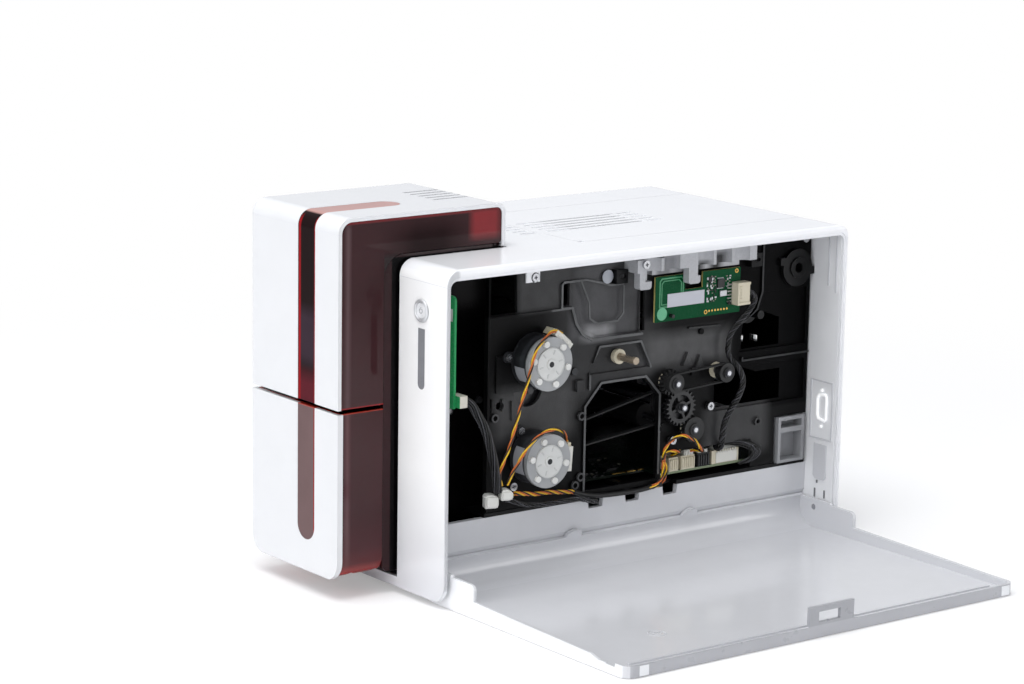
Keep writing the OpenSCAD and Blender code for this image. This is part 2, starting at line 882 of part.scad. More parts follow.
module light_board() {
    color("green")
        difference() {
            union() {
                along_y(-132, -130.4)
                    round_rect(56, 92, 127.4, 199.2, 1, 1, 3, 3);
                // switch body and light guide block on the front, plug on the back
                box([71, -134.4, 185], [79, -131.9, 193]);
                box([70.5, -139, 140], [79, -131.9, 176]);
                box([86, -130.5, 128.5], [96.5, -124.5, 136]);
            }
            for (z = [133, 193])
                translate([61, -129, z])
                    rotate([90, 0, 0])
                        cylinder(r = screw_r, h = 4);
        }
}

// ---- chassis ----

bay_outline = [[-10, 53], [-10, 110], [3, 124], [40, 124], [52, 111], [52, 53]];
bay_rim = [[-10.8, 53], [-10.8, 110.4], [2.6, 124.8], [40.4, 124.8], [52.8, 111.4], [52.8, 57]];
slot_outline = [[-7.6, 131], [-7.6, 134], [0.5, 148], [35, 148], [43, 133], [43, 131]];
chute_rim = [
    [-22.4, 177.6], [-31.6, 178], [-31.6, 193.6], [-30, 195], [-12, 195], [2, 191.6], [8, 189.6],
    [19, 189.6]];
tongue_rim = [[19.6, 188], [19.6, 170], [15, 165.2], [-2, 165], [-8.6, 169], [-9.4, 180], [-16, 194]];
motor_ears = [
    [[-75.6, 151], [-33, 143.2]],
    [[-64.8, 101.4], [-43.8, 65]],
    [[-4.6, 117], [38, 117]]];

module chassis_right() {
    face = plate_x;
    color([0.1, 0.1, 0.1])
        difference() {
            union() {
                // main web
                along_x(plate_in, face)
                    polygon([[-91, 49.6], [157, 49.6], [157, 82], [186, 82], [186, 211], [-91, 211]]);
                // raised rims and ledges
                along_x(plate_in, face + 1.6)
                    union() {
                        rib(bay_rim, 1.6);
                        rib(chute_rim, 1.4);
                        rib([[-90.2, 50.4], [-90.2, 210]], 1.6);
                        rib([[-89, 177.4], [-23, 177.4]], 1.3);
                        rib([[-7.2, 121.6], [-7.2, 131.8], [0.6, 149.2], [35.4, 149.2], [44.2, 131]], 1.4);
                        rib(tongue_rim, 1.2);
                        rib([[-22.8, 177], [-19.6, 166.8], [-13.8, 158.8], [-5.6, 154.6], [36, 154.2]], 1.8);
                        rib([[141.4, 205], [141.4, 172], [137, 160], [129, 153.6], [121.4, 151.6]], 1.4);
                        rib([[125, 127.6], [125, 125.6], [185, 125.6]], 1.3);
                        rib([[77, 153.4], [104, 152.6]], 1.4);
                        rib([[-70.6, 109], [-71, 121]], 1.2);
                        rib([[-78.4, 116], [-78.4, 123]], 1.6);
                        rib([[-87, 116], [-87, 124]], 1.2);
                    }
                // bosses
                along_x(plate_in, face + 2.2)
                    for (p = [[-14, 104.5], [-14, 63.5], [-18.5, 58.5], [56, 87.5], [-85, 112], spare_boss_yz,
                        [63.5, 78.5], [96, 98]])
                        translate(p)
                            circle(3);
                // grey block beside the bay and stepped pads
                box([face - 1, -19, 121.4], [face + 3, -13, 129]);
                box([face - 1, 80, 120.6], [face + 2, 86, 126]);
                box([face - 1, -84, 128], [face + 1.4, -66, 152]);
            }
            // bay opening
            along_x(face - 10, face + 5)
                polygon(bay_outline);
            // recess round the ribbon spindle
            along_x(face - 1.6, face + 5)
                polygon(slot_outline);
            // pocket of the chute
            along_x(face - 1.8, face + 1)
                polygon([
                    [-24, 193.6], [-20.6, 176], [-14, 163.6], [-2, 156], [34.4, 155.6], [34.4, 203],
                    [20.4, 203], [20.4, 190], [2, 192.6], [-12, 194.2]]);
            along_x(face - 10, face + 5)
                polygon([[-30.6, 179], [-24.6, 179], [-24.6, 194], [-30.6, 194]]);
            // dark pocket at the upper front
            along_x(face - 10, face + 5)
                polygon([[-88.4, 179], [-67, 179], [-68, 205], [-88.4, 205]]);
            // gap over the main board's connectors
            box([face - 10, 56, 40], [face + 5, 136, 69.4]);
            // groove in front of the antenna board
            along_x(face - 10, face + 5)
                polygon([[35, 156], [39, 156], [39, 192], [34.6, 183]]);
            // rear bays
            along_x(face - 10, face + 5)
                union() {
                    polygon([[126, 133], [160, 133], [160, 152], [138, 160], [126, 152]]);
                    polygon([[103, 95], [162, 95], [162, 116], [140, 116], [126, 121], [103, 121]]);
                }
            // shallow pockets round them
            along_x(face - 1.8, face + 1)
                union() {
                    polygon([[123, 131.4], [183, 131.4], [183, 171], [144, 171], [142, 163], [126, 154]]);
                    polygon([[101, 93], [183, 93], [183, 121], [138, 121], [126, 123], [101, 123]]);
                }
            // shaft, motor and hinge holes
            for (h = [
                [platen, 4.5], [rear_roller, 4.5], [ribbon_axis, 4.5], [out_roller, 4.5],
                [main_gear, shaft_r + run], [upper_motor_yz, 6.6], [lower_motor_yz, 7], [lid_hinge, 4],
                [feed_gear, shaft_r + run],
                [feed_idler, shaft_r + run], [supply_axis, 3 + run], [head_pivot, 2 + run],
                [clean_axis, shaft_r + run]])
                bar_x(h[0], h[1], face - 10, face + 5);
            // window that shows the feed drive gear, under the upper motor
            along_x(face - 10, face + 5)
                intersection() {
                    translate([-57.4, 127.6])
                        circle(11.6);
                    translate([-75, 110])
                        square([40, 16.6]);
                }
            // screw holes
            for (p = concat(chassis_screw_yz, [spare_boss_yz]))
                bar_x(p, screw_r, face - 10, face + 6);
            for (m = [0, 1], p = motor_ears[m])
                bar_x(p, screw_r, face - 10, face + 6);
            bar_x([5.6, 195.5], screw_r, face - 10, face + 6);
        }
}

chassis_screw_yz = [[-53.6, 200.6], [96, 98], [63.5, 78.5], [-68.6, 64.4], [180, 205]];
// A boss that stays without its screw.
spare_boss_yz = [140.5, 81.5];

module chassis_left() {
    color([0.1, 0.1, 0.1])
        difference() {
            union() {
                along_x(-plate_x, -plate_in)
                    polygon([[-91, 49.6], [186, 49.6], [186, 211], [-91, 211]]);
                // bosses and ribs that show through the bay of the other plate
                along_x(-plate_in - 1, -plate_in + 4)
                    union() {
                        for (p = [[60, 96], [74, 66], [100, 104], [40, 80]])
                            translate(p)
                                difference() {
                                    circle(5);
                                    circle(2);
                                }
                        rib([[20, 60], [80, 84], [118, 80]], 1.6);
                        rib([[24, 120], [24, 70]], 1.6);
                    }
            }
            along_x(-80, -60)
                union() {
                    round_rect(-58, -22, 100, 180, 6, 6, 6, 6);
                    round_rect(-10, 30, 58, 90, 6, 6, 6, 6);
                    round_rect(110, 160, 60, 100, 6, 6, 6, 6);
                    round_rect(40, 120, 160, 196, 6, 6, 6, 6);
                }
            for (h = [
                [platen, shaft_r + run], [rear_roller, shaft_r + run], [ribbon_axis, shaft_r + run],
                [main_gear, shaft_r + run], [out_roller, shaft_r + run], [lid_hinge, 4], [ribbon_motor_yz, 7],
                [supply_axis, 3 + run], [head_pivot, 2 + run], [clean_axis, shaft_r + run]])
                bar_x(h[0], h[1], -80, -60);
            for (p = motor_ears[2])
                bar_x(p, screw_r, -80, -60);
        }
}

// Bars that join the chassis plates, with the card rails between the rollers.
module chassis_crossbars() {
    color([0.12, 0.12, 0.12])
        union() {
            box([-plate_in, -66, 194], [plate_in, -58, 204]);
            difference() {
                box([-plate_in, 183.5, 72], [plate_in, 185.5, 162]);
                for (x = [-2, 13])
                    box([x, 180, x / 5 + 121], [x + 8, 190, x / 5 + 125.6]);
                box([-61, 180, 88], [-13, 190, 132]);
            }
            box([-plate_in, 24, 50.5], [plate_in, 30, 52.6]);
            box([-plate_in, 118, 80], [plate_in, 124, 90]);
            // card rails at the path height
            for (s = [-1, 1]) {
                box([s * 29.5 - 2, -4, card_z - 3.4], [s * 29.5 + 2, 42, card_z - 0.5]);
                box([s * 29.5 - 2, 72, card_z - 3.4], [s * 29.5 + 2, 90, card_z - 0.5]);
                box([s * 29.5 - 2, 113, card_z - 3.4], [s * 29.5 + 2, 160, card_z - 0.5]);
            }
            for (y = [-4, 36, 76, 114, 150])
                box([-plate_in, y, card_z - 8], [plate_in, y + 4, card_z - 3.3]);
        }
}

module lower_deck() {
    color([0.12, 0.12, 0.12])
        difference() {
            union() {
                box([-plate_x + 0.2, -91, tray_top], [plate_x - 0.2, 186, tray_top + 2.6]);
                for (x = board_post_x, y = [-10, 138])
                    translate([x, y, tray_top + 2])
                        cylinder(r = 3, h = board_z - tray_top - 2);
            }
            for (y = [0.5, 32, 64.5])
                box([plate_x - 6, y - 6, tray_top - 1], [plate_x + 1, y + 6, tray_top + 4]);
            // bay of the feeder housing
            box([-49, -92, tray_top - 1], [49, -69.5, tray_top + 4]);
            for (x = board_post_x, y = [-10, 138])
                translate([x, y, tray_top - 1])
                    cylinder(r = screw_r, h = 12);
        }
}

// ---- motors ----

module motor_can(yz, ears, plug_angle) {
    color([0.2, 0.2, 0.21])
        difference() {
            union() {
                // mounting flange with two ears
                along_x(plate_x + 1.4, plate_x + 2.4)
                    union() {
                        translate(yz)
                            circle(motor_d / 2 + 0.4);
                        for (p = ears) {
                            translate(p)
                                circle(3.6);
                            rib([p, yz], 7.2);
                        }
                    }
                bar_x(yz, motor_d / 2, plate_x + 2, plate_x + motor_len - 3);
                bar_x(yz, 6.4, plate_in, plate_x + 2);
                // plug housing on the side of the can
                translate([plate_x + 4, yz[0], yz[1]])
                    rotate([plug_angle, 0, 0])
                        translate([0, motor_d / 2 - 3, -7])
                            cube([10, 7, 14]);
            }
            for (p = ears)
                bar_x(p, screw_r, plate_x - 1, plate_x + 4);
            bar_x(yz, 2.55, plate_in - 1, plate_x + 6);
        }
}

module motor_cap(yz, phase) {
    x1 = plate_x + motor_len;
    color("gainsboro")
        difference() {
            union() {
                bar_x(yz, motor_d / 2 + 0.2, x1 - 3, x1);
                bar_x(yz, 11, x1 - 1, x1 + 0.6);
                bar_x(yz, 3.4, x1, x1 + 1.4);
                for (i = [0 : 5])
                    rotate_about(yz, phase + i * 60)
                        bar_x([yz[0] + 14, yz[1]], 2.1, x1 - 1, x1 + 1.6);
            }
            bar_x(yz, 1.6, x1 - 1, x1 + 2);
        }
}

// Turns the children round the X axis through (y, z).
module rotate_about(yz, angle) {
    translate([0, yz[0], yz[1]])
        rotate([angle, 0, 0])
            translate([0, -yz[0], -yz[1]])
                children();
}

module upper_motor() {
    motor_can(upper_motor_yz, motor_ears[0], 50);
}

module lower_motor() {
    motor_can(lower_motor_yz, motor_ears[1], -4);
}

module ribbon_motor() {
    mirror([1, 0, 0])
        motor_can(ribbon_motor_yz, motor_ears[2], 270);
}

module motor_caps() {
    motor_cap(upper_motor_yz, -13);
    motor_cap(lower_motor_yz, -11);
    mirror([1, 0, 0])
        motor_cap(ribbon_motor_yz, 0);
}

module upper_pinion() {
    color("goldenrod")
        union() {
            gear_x_axis(upper_motor_yz, 12, 60, 67, 0, upper_phase);
            bar_x(upper_motor_yz, 2.5, 59, plate_x + 5);
        }
}

module drive_pulley() {
    color("goldenrod")
        union() {
            pulley(lower_motor_yz, drive_pulley_r, 61, 66);
            bar_x(lower_motor_yz, 2.5, 59, plate_x + 5);
        }
}

module ribbon_pinion() {
    color("goldenrod")
        mirror([1, 0, 0])
            union() {
                gear_x_axis(ribbon_motor_yz, 12, 59.5, 66.5, 0, ribbon_phase);
                bar_x(ribbon_motor_yz, 2.5, 59, plate_x + 5);
            }
}

// ---- card drive ----

pulley_r = 5.2;
drive_pulley_r = 5.5;

module pulley(yz, r, x0, x1) {
    bar_x(yz, r, x0, x1);
    bar_x(yz, r + 1.4, x0 - 0.8, x0);
    bar_x(yz, r + 1.4, x1, x1 + 0.8);
}

// Closed flat belt, 1 thick, 0.3 clear of two pulleys of radius ra and rb.
module belt(a, ra, b, rb, x0, x1) {
    difference() {
        belt_block(a, ra + 1.3, b, rb + 1.3, x0, x1);
        belt_block(a, ra + 0.3, b, rb + 0.3, x0 - 1, x1 + 1);
    }
}

module belt_block(a, ra, b, rb, x0, x1) {
    span = norm(b - a);
    tilt = asin((rb - ra) / span);
    top = [-sin(tilt), cos(tilt)];
    low = [-sin(tilt), -cos(tilt)];
    bar_x(a, ra, x0, x1);
    bar_x(b, rb, x0, x1);
    along_x(x0, x1)
        translate(a)
            rotate(mesh_angle(a, b))
                polygon([ra * top, [span, 0] + rb * top, [span, 0] + rb * low, ra * low]);
}

module platen_roller() {
    color("dimgray")
        union() {
            bar_x(platen, shaft_r, -plate_x - 2, 86);
            bar_x(platen, card_z - 0.4 - platen[1], -27.5, 27.5);
            gear_x_axis(platen, 16, gear_x, gear_x + 4, 0, platen_phase);
            pulley(platen, pulley_r, pulley_x, 83);
            bar_x(platen, 4.2, 83, 84.6);
        }
}

module rear_roller() {
    color("dimgray")
        union() {
            bar_x(rear_roller, shaft_r, -plate_x - 2, 86);
            bar_x(rear_roller, card_z - 0.4 - rear_roller[1], -27.5, 27.5);
            pulley(rear_roller, pulley_r, pulley_x, 83);
            bar_x(rear_roller, 3.6, 83, 85);
        }
}

module roller_belt() {
    color([0.08, 0.08, 0.08])
        belt(platen, pulley_r, rear_roller, pulley_r - 0.1, 79.4, 82.6);
}

module drive_belt() {
    color([0.08, 0.08, 0.08])
        belt(lower_motor_yz, drive_pulley_r, main_gear, 2 * drive_pulley_r, 61.4, 65.6);
}

module main_gear() {
    color("dimgray")
        difference() {
            union() {
                gear_x_axis(main_gear, 24, gear_x, gear_x + 4.4, 0, 0);
                bar_x(main_gear, shaft_r, -plate_x - 2, 82.4);
                pulley(main_gear, 2 * drive_pulley_r, 61, 66);
                bar_x(main_gear, 4.2, gear_x, gear_x + 5.4);
            }
            // windows between the spokes
            for (i = [0 : 3])
                rotate_about(main_gear, 20 + i * 90)
                    along_x(gear_x + 1.2, gear_x + 6)
                        translate(main_gear)
                            difference() {
                                intersection() {
                                    circle(8.2);
                                    translate([0.9, 0.9])
                                        square(9);
                                }
                                circle(4.4);
                            }
        }
}

module output_roller() {
    color("dimgray")
        union() {
            bar_x(out_roller, shaft_r, -plate_x - 2, 81.4);
            bar_x(out_roller, 8, -27.5, 27.5);
            gear_x_axis(out_roller, 16, gear_x, gear_x + 3.4, 0, output_phase);
            bar_x(out_roller, 8.6, gear_x + 4.6, gear_x + 5.6);
            bar_x(out_roller, 4.4, gear_x + 3, gear_x + 6.6);
        }
}

module shaft_bushes() {
    color("cornsilk")
        for (p = [platen, rear_roller, ribbon_axis, out_roller])
            difference() {
                union() {
                    bar_x(p, 4.5, plate_in, plate_x + 0.4);
                    bar_x(p, p == ribbon_axis ? 5 : 5.4, plate_x, plate_x + (p == ribbon_axis ? 2.4 : 1.2));
                }
                bar_x(p, shaft_r + run, plate_in - 1, plate_x + 4);
            }
}

// ---- ribbon drive and print head ----

module takeup_spindle() {
    color("gray")
        difference() {
            union() {
                bar_x(ribbon_axis, shaft_r, -plate_x - 2, plate_x + motor_len);
                gear_x_axis(ribbon_axis, 36, -66, -60, 0, 0);
            }
            box([plate_x + 6, ribbon_axis[0] - 4, ribbon_axis[1] + 1.5],
                [plate_x + motor_len - 3, ribbon_axis[0] + 4, ribbon_axis[1] + 5]);
        }
}

module takeup_spool() {
    color([0.12, 0.1, 0.16])
        difference() {
            union() {
                bar_x(ribbon_axis, 9.6, -32, 32);
                bar_x(ribbon_axis, 11.2, -36, -33);
                bar_x(ribbon_axis, 11.2, 33, 36);
                bar_x(ribbon_axis, 6, -40, 40);
            }
            bar_x(ribbon_axis, shaft_r, -50, 50);
        }
}

module supply_spool() {
    color([0.12, 0.1, 0.16])
        union() {
            bar_x(supply_axis, 3, -plate_x - 2, plate_x + 2);
            bar_x(supply_axis, 17, -32, 32);
            bar_x(supply_axis, 20, -36, -33);
            bar_x(supply_axis, 20, 33, 36);
            bar_x(supply_axis, 8, -60, 60);
        }
}

module cleaning_roller() {
    color("cornflowerblue")
        union() {
            bar_x(clean_axis, shaft_r, -plate_x - 1.5, plate_x + 1.5);
            bar_x(clean_axis, 6, -30, 30);
        }
}

module print_head() {
    color("darkslategray")
        union() {
            box([-32, platen[0] - 3, card_z + 0.8], [32, platen[0] + 12, card_z + 5]);
            box([-30, platen[0] - 1, card_z + 4.8], [30, platen[0] + 10, card_z + 12]);
        }
}

module head_arm() {
    color("dimgray")
        difference() {
            union() {
                box([-34, platen[0] - 2, card_z + 12.2], [34, head_pivot[0] - 6, card_z + 15]);
                for (x = [-38, 34])
                    along_x(x, x + 4)
                        union() {
                            translate([platen[0] - 2, card_z + 12.2])
                                square([head_pivot[0] - platen[0] + 2, 6]);
                            translate(head_pivot)
                                circle(6);
                        }
                bar_x(head_pivot, 2, -plate_x - 1.5, plate_x + 1.5);
            }
            box([-30, platen[0] + 4, card_z + 12], [30, platen[0] + 8, card_z + 13]);
        }
}

// ---- circuit boards and brackets ----

ant_x = 76.4;
ant_y = [41.8, 116];
ant_z = [161.6, 192.2];

module antenna_board() {
    color("green")
        difference() {
            along_x(ant_x, ant_x + 1.6)
                difference() {
                    round_rect(ant_y[0], ant_y[1], ant_z[0], ant_z[1], 0.6, 0.6, 0.6, 0.6);
                    translate([67.4, 181.6])
                        square([15.4, 20]);
                }
            bar_x([86, 164.4], 1.4, 70, 80);
            bar_x([112.6, 190], 1.2, 70, 80);
        }
}

// Fluted light moulding under the roof; two hooks hold the antenna board.
module top_bracket() {
    x0 = plate_x + 0.1;
    x1 = 85;
    low = 197.6;
    color("gainsboro")
        difference() {
            union() {
                box([x0, 20.6, low], [x1, 124, roof_under - 0.1]);
                for (y = [22.6, 64.6])
                    along_x(x1 - 5.8, x1)
                        round_rect(y, y + 10, 186.4, low + 1, 2, 2, 0, 0);
                box([x0, 40, low - 4], [ant_x - 0.1, 116, low + 1]);
            }
            // flutes
            for (y = [34, 50, 79, 95, 111])
                translate([x1 + 2, y, low - 6])
                    cylinder(r = 7, h = 16);
            bar_x([27, 203.4], screw_r, x1 - 8, x1 + 1);
            // room for the latch loop of the closed door
            box([x1 - 3.6, 19, door_top - 2.7], [x1 + 1, 43.8, door_top + 0.5]);
        }
}

module slot_brackets() {
    color([0.16, 0.16, 0.16])
        difference() {
            for (y = [10.3, 127.6])
                union() {
                    box([plate_x, y, 190.4], [plate_x + 5, y + 2, 199.6]);
                    box([plate_x + 3.4, y, 190.4], [plate_x + 5, y + 9.6, 199.6]);
                }
            for (y = [10.3, 127.6])
                along_x(plate_x + 2, plate_x + 6)
                    translate([y + 5.4, 195.2])
                        rib([[-1.2, 0], [1.2, 0]], 2.6);
        }
}

// Light-framed cable bracket in the lower rear corner.
module rear_bracket() {
    x1 = plate_x + 2;
    y1 = 183.5;
    low = tray_top + 2.6;
    color("gray")
        difference() {
            box([plate_x - 8, 159.6, low], [x1, y1, 81.4]);
            box([plate_x - 6.4, 162, low + 2], [x1 + 1, y1 - 2.4, 70.4]);
            box([plate_x - 6.4, 162, 73.8], [x1 + 1, y1 - 2.4, 78.8]);
        }
}

module main_board() {
    color([0.05, 0.28, 0.14])
        difference() {
            box([-62, -18, board_z], [plate_in - 0.5, 148, board_z + 1.6]);
            // set back where the bay opens
            box([53.4, -19, board_z - 1], [plate_x, 57, board_z + 3]);
            for (x = board_post_x, y = [-10, 138])
                translate([x, y, board_z - 1])
                    cylinder(r = screw_r, h = 4);
        }
}

module board_connectors() {
    top = board_z + 1.6;
    color("cornsilk")
        union() {
            for (s = [[66, 74], [76.5, 88.5], [91, 102], [104, 128]])
                difference() {
                    box([58, s[0], top], [67.8, s[1], top + 9.4]);
                    box([59.4, s[0] + 1.2, top + 2], [66.6, s[1] - 1.2, top + 12]);
                }
            // on the antenna board
            difference() {
                box([ant_x + 1.6, 108.6, 167.6], [ant_x + 7.6, 119.4, 182.6]);
                box([ant_x + 3, 111, 169], [ant_x + 6.2, 120, 181]);
            }
        }
}

module rear_sockets() {
    top = board_z + 1.6;
    color("silver")
        union() {
            difference() {
                box([-52, 128, top], [-36, rear_out, top + 14]);
                box([-50.5, 178, top + 2], [-37.5, back_y, top + 12]);
            }
            difference() {
                box([-30, 132, top], [-18, rear_out, top + 12]);
                box([-28.5, 180, top + 2], [-19.5, back_y, top + 10]);
            }
            difference() {
                translate([-4, rear_out, 62])
                    rotate([90, 0, 0])
                        cylinder(r = 5, h = 40);
                translate([-4, back_y, 62])
                    rotate([90, 0, 0])
                        cylinder(r = 3.1, h = 12);
            }
        }
}

// ---- wiring ----

// Rings of a tube along a route, each square to the route; no route runs along X.
function unit(v) = v / norm(v);
function path_dir(p, i) = unit(p[min(i + 1, len(p) - 1)] - p[max(i - 1, 0)]);
function ring_side(d) = unit(cross(d, [1, 0, 0]));
function ring(p, i, r, n) =
    let (d = path_dir(p, i), s = ring_side(d), t = cross(s, d))
    [for (k = [0 : n - 1]) p[i] + r * (cos(360 * k / n) * s + sin(360 * k / n) * t)];

// A round wire with n sides along a route.
module wire(p, r, n = 8) {
    count = len(p);
    points = [for (i = [0 : count - 1]) each ring(p, i, r, n)];
    sides = [for (i = [0 : count - 2], k = [0 : n - 1])
        [i * n + k, i * n + (k + 1) % n, (i + 1) * n + (k + 1) % n, (i + 1) * n + k]];
    first = [for (k = [0 : n - 1]) n - 1 - k];
    last = [for (k = [0 : n - 1]) (count - 1) * n + k];
    polyhedron(points, concat([first], sides, [last]), convexity = 6);
}

// Routes are in millimetres, by hand.
upper_lead = [
    [86.2, -42, 166], [88, -50, 168], [92, -60, 165], [93, -68, 158], [93, -72, 146], [93, -76, 134],
    [93, -80, 122], [93, -84, 110], [93, -88, 98], [92, -92, 88], [91, -94, 80], [90, -92, 72]];
lower_lead = [
    [83, -34, 92], [87, -40, 100], [91, -52, 104], [93, -64, 102], [93, -74, 95], [93, -81, 86],
    [92, -86, 78], [90, -87, 72]];
trunk_lead = [
    [88, -80, 65], [86, -70, 63], [84, -60, 61], [82, -48, 60], [80, -36, 58], [78, -24, 56],
    [76, -12, 52], [73.5, 2, 49], [73.5, 20, 48], [73.5, 40, 48], [74, 54, 50], [76, 57, 58],
    [79, 52, 68], [83, 51, 78], [86, 58, 84], [86, 69, 82], [84, 79, 74], [79, 86, 69], [70, 87, 68],
    [64, 84, 66]];
light_lead = [
    [93, -124, 132], [93, -120, 130], [93, -114, 122], [93, -108, 112], [92, -103, 100],
    [91, -99, 88], [90, -96, 76], [89, -94, 68]];
antenna_lead = [
    [81, 119, 176], [81, 124, 174], [81, 127, 170], [80, 124, 163], [79, 116, 155], [78, 109, 147],
    [78, 107, 140], [78, 108, 132], [84, 112, 124], [86, 114, 116], [84, 113, 106], [80, 110, 96],
    [77, 107, 86], [76, 106, 76], [72.8, 107, 68.2], [64, 110, 65.8]];

module motor_leads() {
    color("orange") {
        wire(upper_lead, 1);
        wire(lower_lead, 1);
        wire(trunk_lead, 1.2);
    }
}

module wire_harness() {
    color([0.1, 0.1, 0.1]) {
        wire(light_lead, 1.6);
        wire(antenna_lead, 1.5);
    }
}

module cable_clips() {
    color("white")
        union() {
            translate([90, -88, 66])
                rotate([0, 0, -20])
                    cube([9, 8, 7], center = true);
            translate([86, -97, 62])
                rotate([0, 0, -20])
                    cube([8, 9, 9], center = true);
        }
}

module case_screws() {
    color("silver")
        union() {
            for (p = chassis_screw_yz)
                screw_x(p, plate_x + (p == [96, 98] || p == [63.5, 78.5] ? 2.2 : 0));
            for (m = [0, 1], p = motor_ears[m])
                screw_x(p, plate_x + 2.4, 2.4);
            mirror([1, 0, 0])
                for (p = motor_ears[2])
                    screw_x(p, plate_x + 2.4, 2.4);
            screw_x([27, 203.4], 85);
            // flat cap on the stud beside the chute
            bar_x([5.6, 195.5], 4, plate_x, plate_x + 1.6);
            bar_x([5.6, 195.5], screw_r, plate_x - 6, plate_x + 0.2);
        }
}

body_shell();
base_tray();
rear_panel();
left_cover();
rubber_feet();
side_door();
door_hinge_pins();
top_lid();
lid_hinge_discs();
feeder_shell();
feeder_tint();
feeder_hinge_pins();
hopper_shell();
hopper_tint();
hopper_tray();
front_housing();
card_magazine();
card_pusher();
feed_roller();
feed_idler_gear();
feed_drive_gear();
power_button();
button_ring();
status_window();
light_board();
chassis_right();
chassis_left();
chassis_crossbars();
lower_deck();
upper_motor();
lower_motor();
ribbon_motor();
motor_caps();
upper_pinion();
drive_pulley();
ribbon_pinion();
drive_belt();
platen_roller();
rear_roller();
roller_belt();
main_gear();
output_roller();
shaft_bushes();
takeup_spindle();
takeup_spool();
supply_spool();
cleaning_roller();
print_head();
head_arm();
antenna_board();
top_bracket();
slot_brackets();
rear_bracket();
main_board();
board_connectors();
rear_sockets();
motor_leads();
wire_harness();
cable_clips();
case_screws();
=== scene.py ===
import math

import bmesh
import bpy
from mathutils import Matrix, Vector


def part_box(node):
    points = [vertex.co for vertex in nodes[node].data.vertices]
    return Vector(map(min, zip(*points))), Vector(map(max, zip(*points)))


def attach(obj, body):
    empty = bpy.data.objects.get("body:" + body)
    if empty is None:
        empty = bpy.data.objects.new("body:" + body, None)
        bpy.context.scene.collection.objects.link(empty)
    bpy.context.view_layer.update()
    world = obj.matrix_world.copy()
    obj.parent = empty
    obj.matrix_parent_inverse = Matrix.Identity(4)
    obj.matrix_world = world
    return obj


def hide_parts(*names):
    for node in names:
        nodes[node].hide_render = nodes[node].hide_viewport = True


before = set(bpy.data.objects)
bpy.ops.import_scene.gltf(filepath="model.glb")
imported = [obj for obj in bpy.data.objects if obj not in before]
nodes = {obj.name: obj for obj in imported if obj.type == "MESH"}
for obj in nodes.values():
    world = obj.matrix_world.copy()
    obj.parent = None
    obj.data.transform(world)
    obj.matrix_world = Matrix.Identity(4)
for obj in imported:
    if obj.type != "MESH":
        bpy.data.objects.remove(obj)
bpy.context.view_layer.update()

scene = bpy.context.scene
MM = 0.001

# ---- Camera ----
# It stands in front of the open side door, a little above the machine, and looks along the door at the
# front corner through a long lens. It is tipped by less than a degree.

AZIMUTH, ELEVATION, ROLL = math.radians(52.74), math.radians(11.60), math.radians(0.93)
CAMERA_PLACE = (1.63988, -1.26429, 0.56478)
back = Vector((math.sin(AZIMUTH) * math.cos(ELEVATION), -math.cos(AZIMUTH) * math.cos(ELEVATION),
               math.sin(ELEVATION)))
level = (-back).cross(Vector((0, 0, 1))).normalized()
upright = level.cross(-back)
right = math.cos(ROLL) * level + math.sin(ROLL) * upright
up = -math.sin(ROLL) * level + math.cos(ROLL) * upright
camera = bpy.data.objects.new("camera", bpy.data.cameras.new("camera"))
scene.collection.objects.link(camera)
camera.matrix_world = Matrix((
    (right.x, up.x, back.x, CAMERA_PLACE[0]),
    (right.y, up.y, back.y, CAMERA_PLACE[1]),
    (right.z, up.z, back.z, CAMERA_PLACE[2]),
    (0, 0, 0, 1)))
camera.data.lens = 110.4
camera.data.sensor_width = 36.0
camera.data.clip_start = 0.1
camera.data.clip_end = 50.0
scene.camera = camera

# ---- White case, lid and front covers ----
# High-gloss white ABS, injection moulded: a smooth skin with the faintest ripple, soft highlights
# and small rounded edges. Thin grey lines of painted shade mark where the rounding of the top edges begins.

def lin(code):
    """Linear RGBA of an sRGB hex colour."""
    parts = [int(code[i:i + 2], 16) / 255 for i in (0, 2, 4)]
    return [c / 12.92 if c <= 0.04045 else ((c + 0.055) / 1.055) ** 2.4 for c in parts] + [1.0]


def node(tree, kind, inputs=None, **settings):
    """Adds a node with its settings, and sets or links its inputs. A node given as an input stands for
    its first output."""
    made = tree.nodes.new(kind)
    for key, value in settings.items():
        setattr(made, key, value)
    for key, value in (inputs or {}).items():
        if isinstance(value, bpy.types.Node):
            value = value.outputs[0]
        if isinstance(value, bpy.types.NodeSocket):
            tree.links.new(value, made.inputs[key])
        else:
            made.inputs[key].default_value = value
    return made


def grain(tree, mm, detail, rough=0.55, lay=(1, 1, 1)):
    """A noise whose features are mm across, stretched along the lay of the surface."""
    place = node(tree, "ShaderNodeTexCoord").outputs["Object"]
    scaled = node(tree, "ShaderNodeMapping", {"Vector": place, "Scale": [s / (mm * MM) for s in lay]})
    return node(tree, "ShaderNodeTexNoise", {"Vector": scaled, "Scale": 1.0, "Detail": detail,
                                             "Roughness": rough}).outputs["Fac"]


def between(tree, axis, low, high, soft=0.05):
    """1 from low to high mm along an object axis (0, 1, 2), fading over soft mm."""
    place = node(tree, "ShaderNodeTexCoord").outputs["Object"]
    along = node(tree, "ShaderNodeSeparateXYZ", {0: place}).outputs[axis]
    rise = node(tree, "ShaderNodeMapRange", {"Value": along, "From Min": (low - soft) * MM,
                                             "From Max": (low + soft) * MM})
    fall = node(tree, "ShaderNodeMapRange", {"Value": along, "From Min": (high - soft) * MM,
                                             "From Max": (high + soft) * MM, "To Min": 1.0, "To Max": 0.0})
    return node(tree, "ShaderNodeMath", {0: rise, 1: fall}, operation="MULTIPLY")


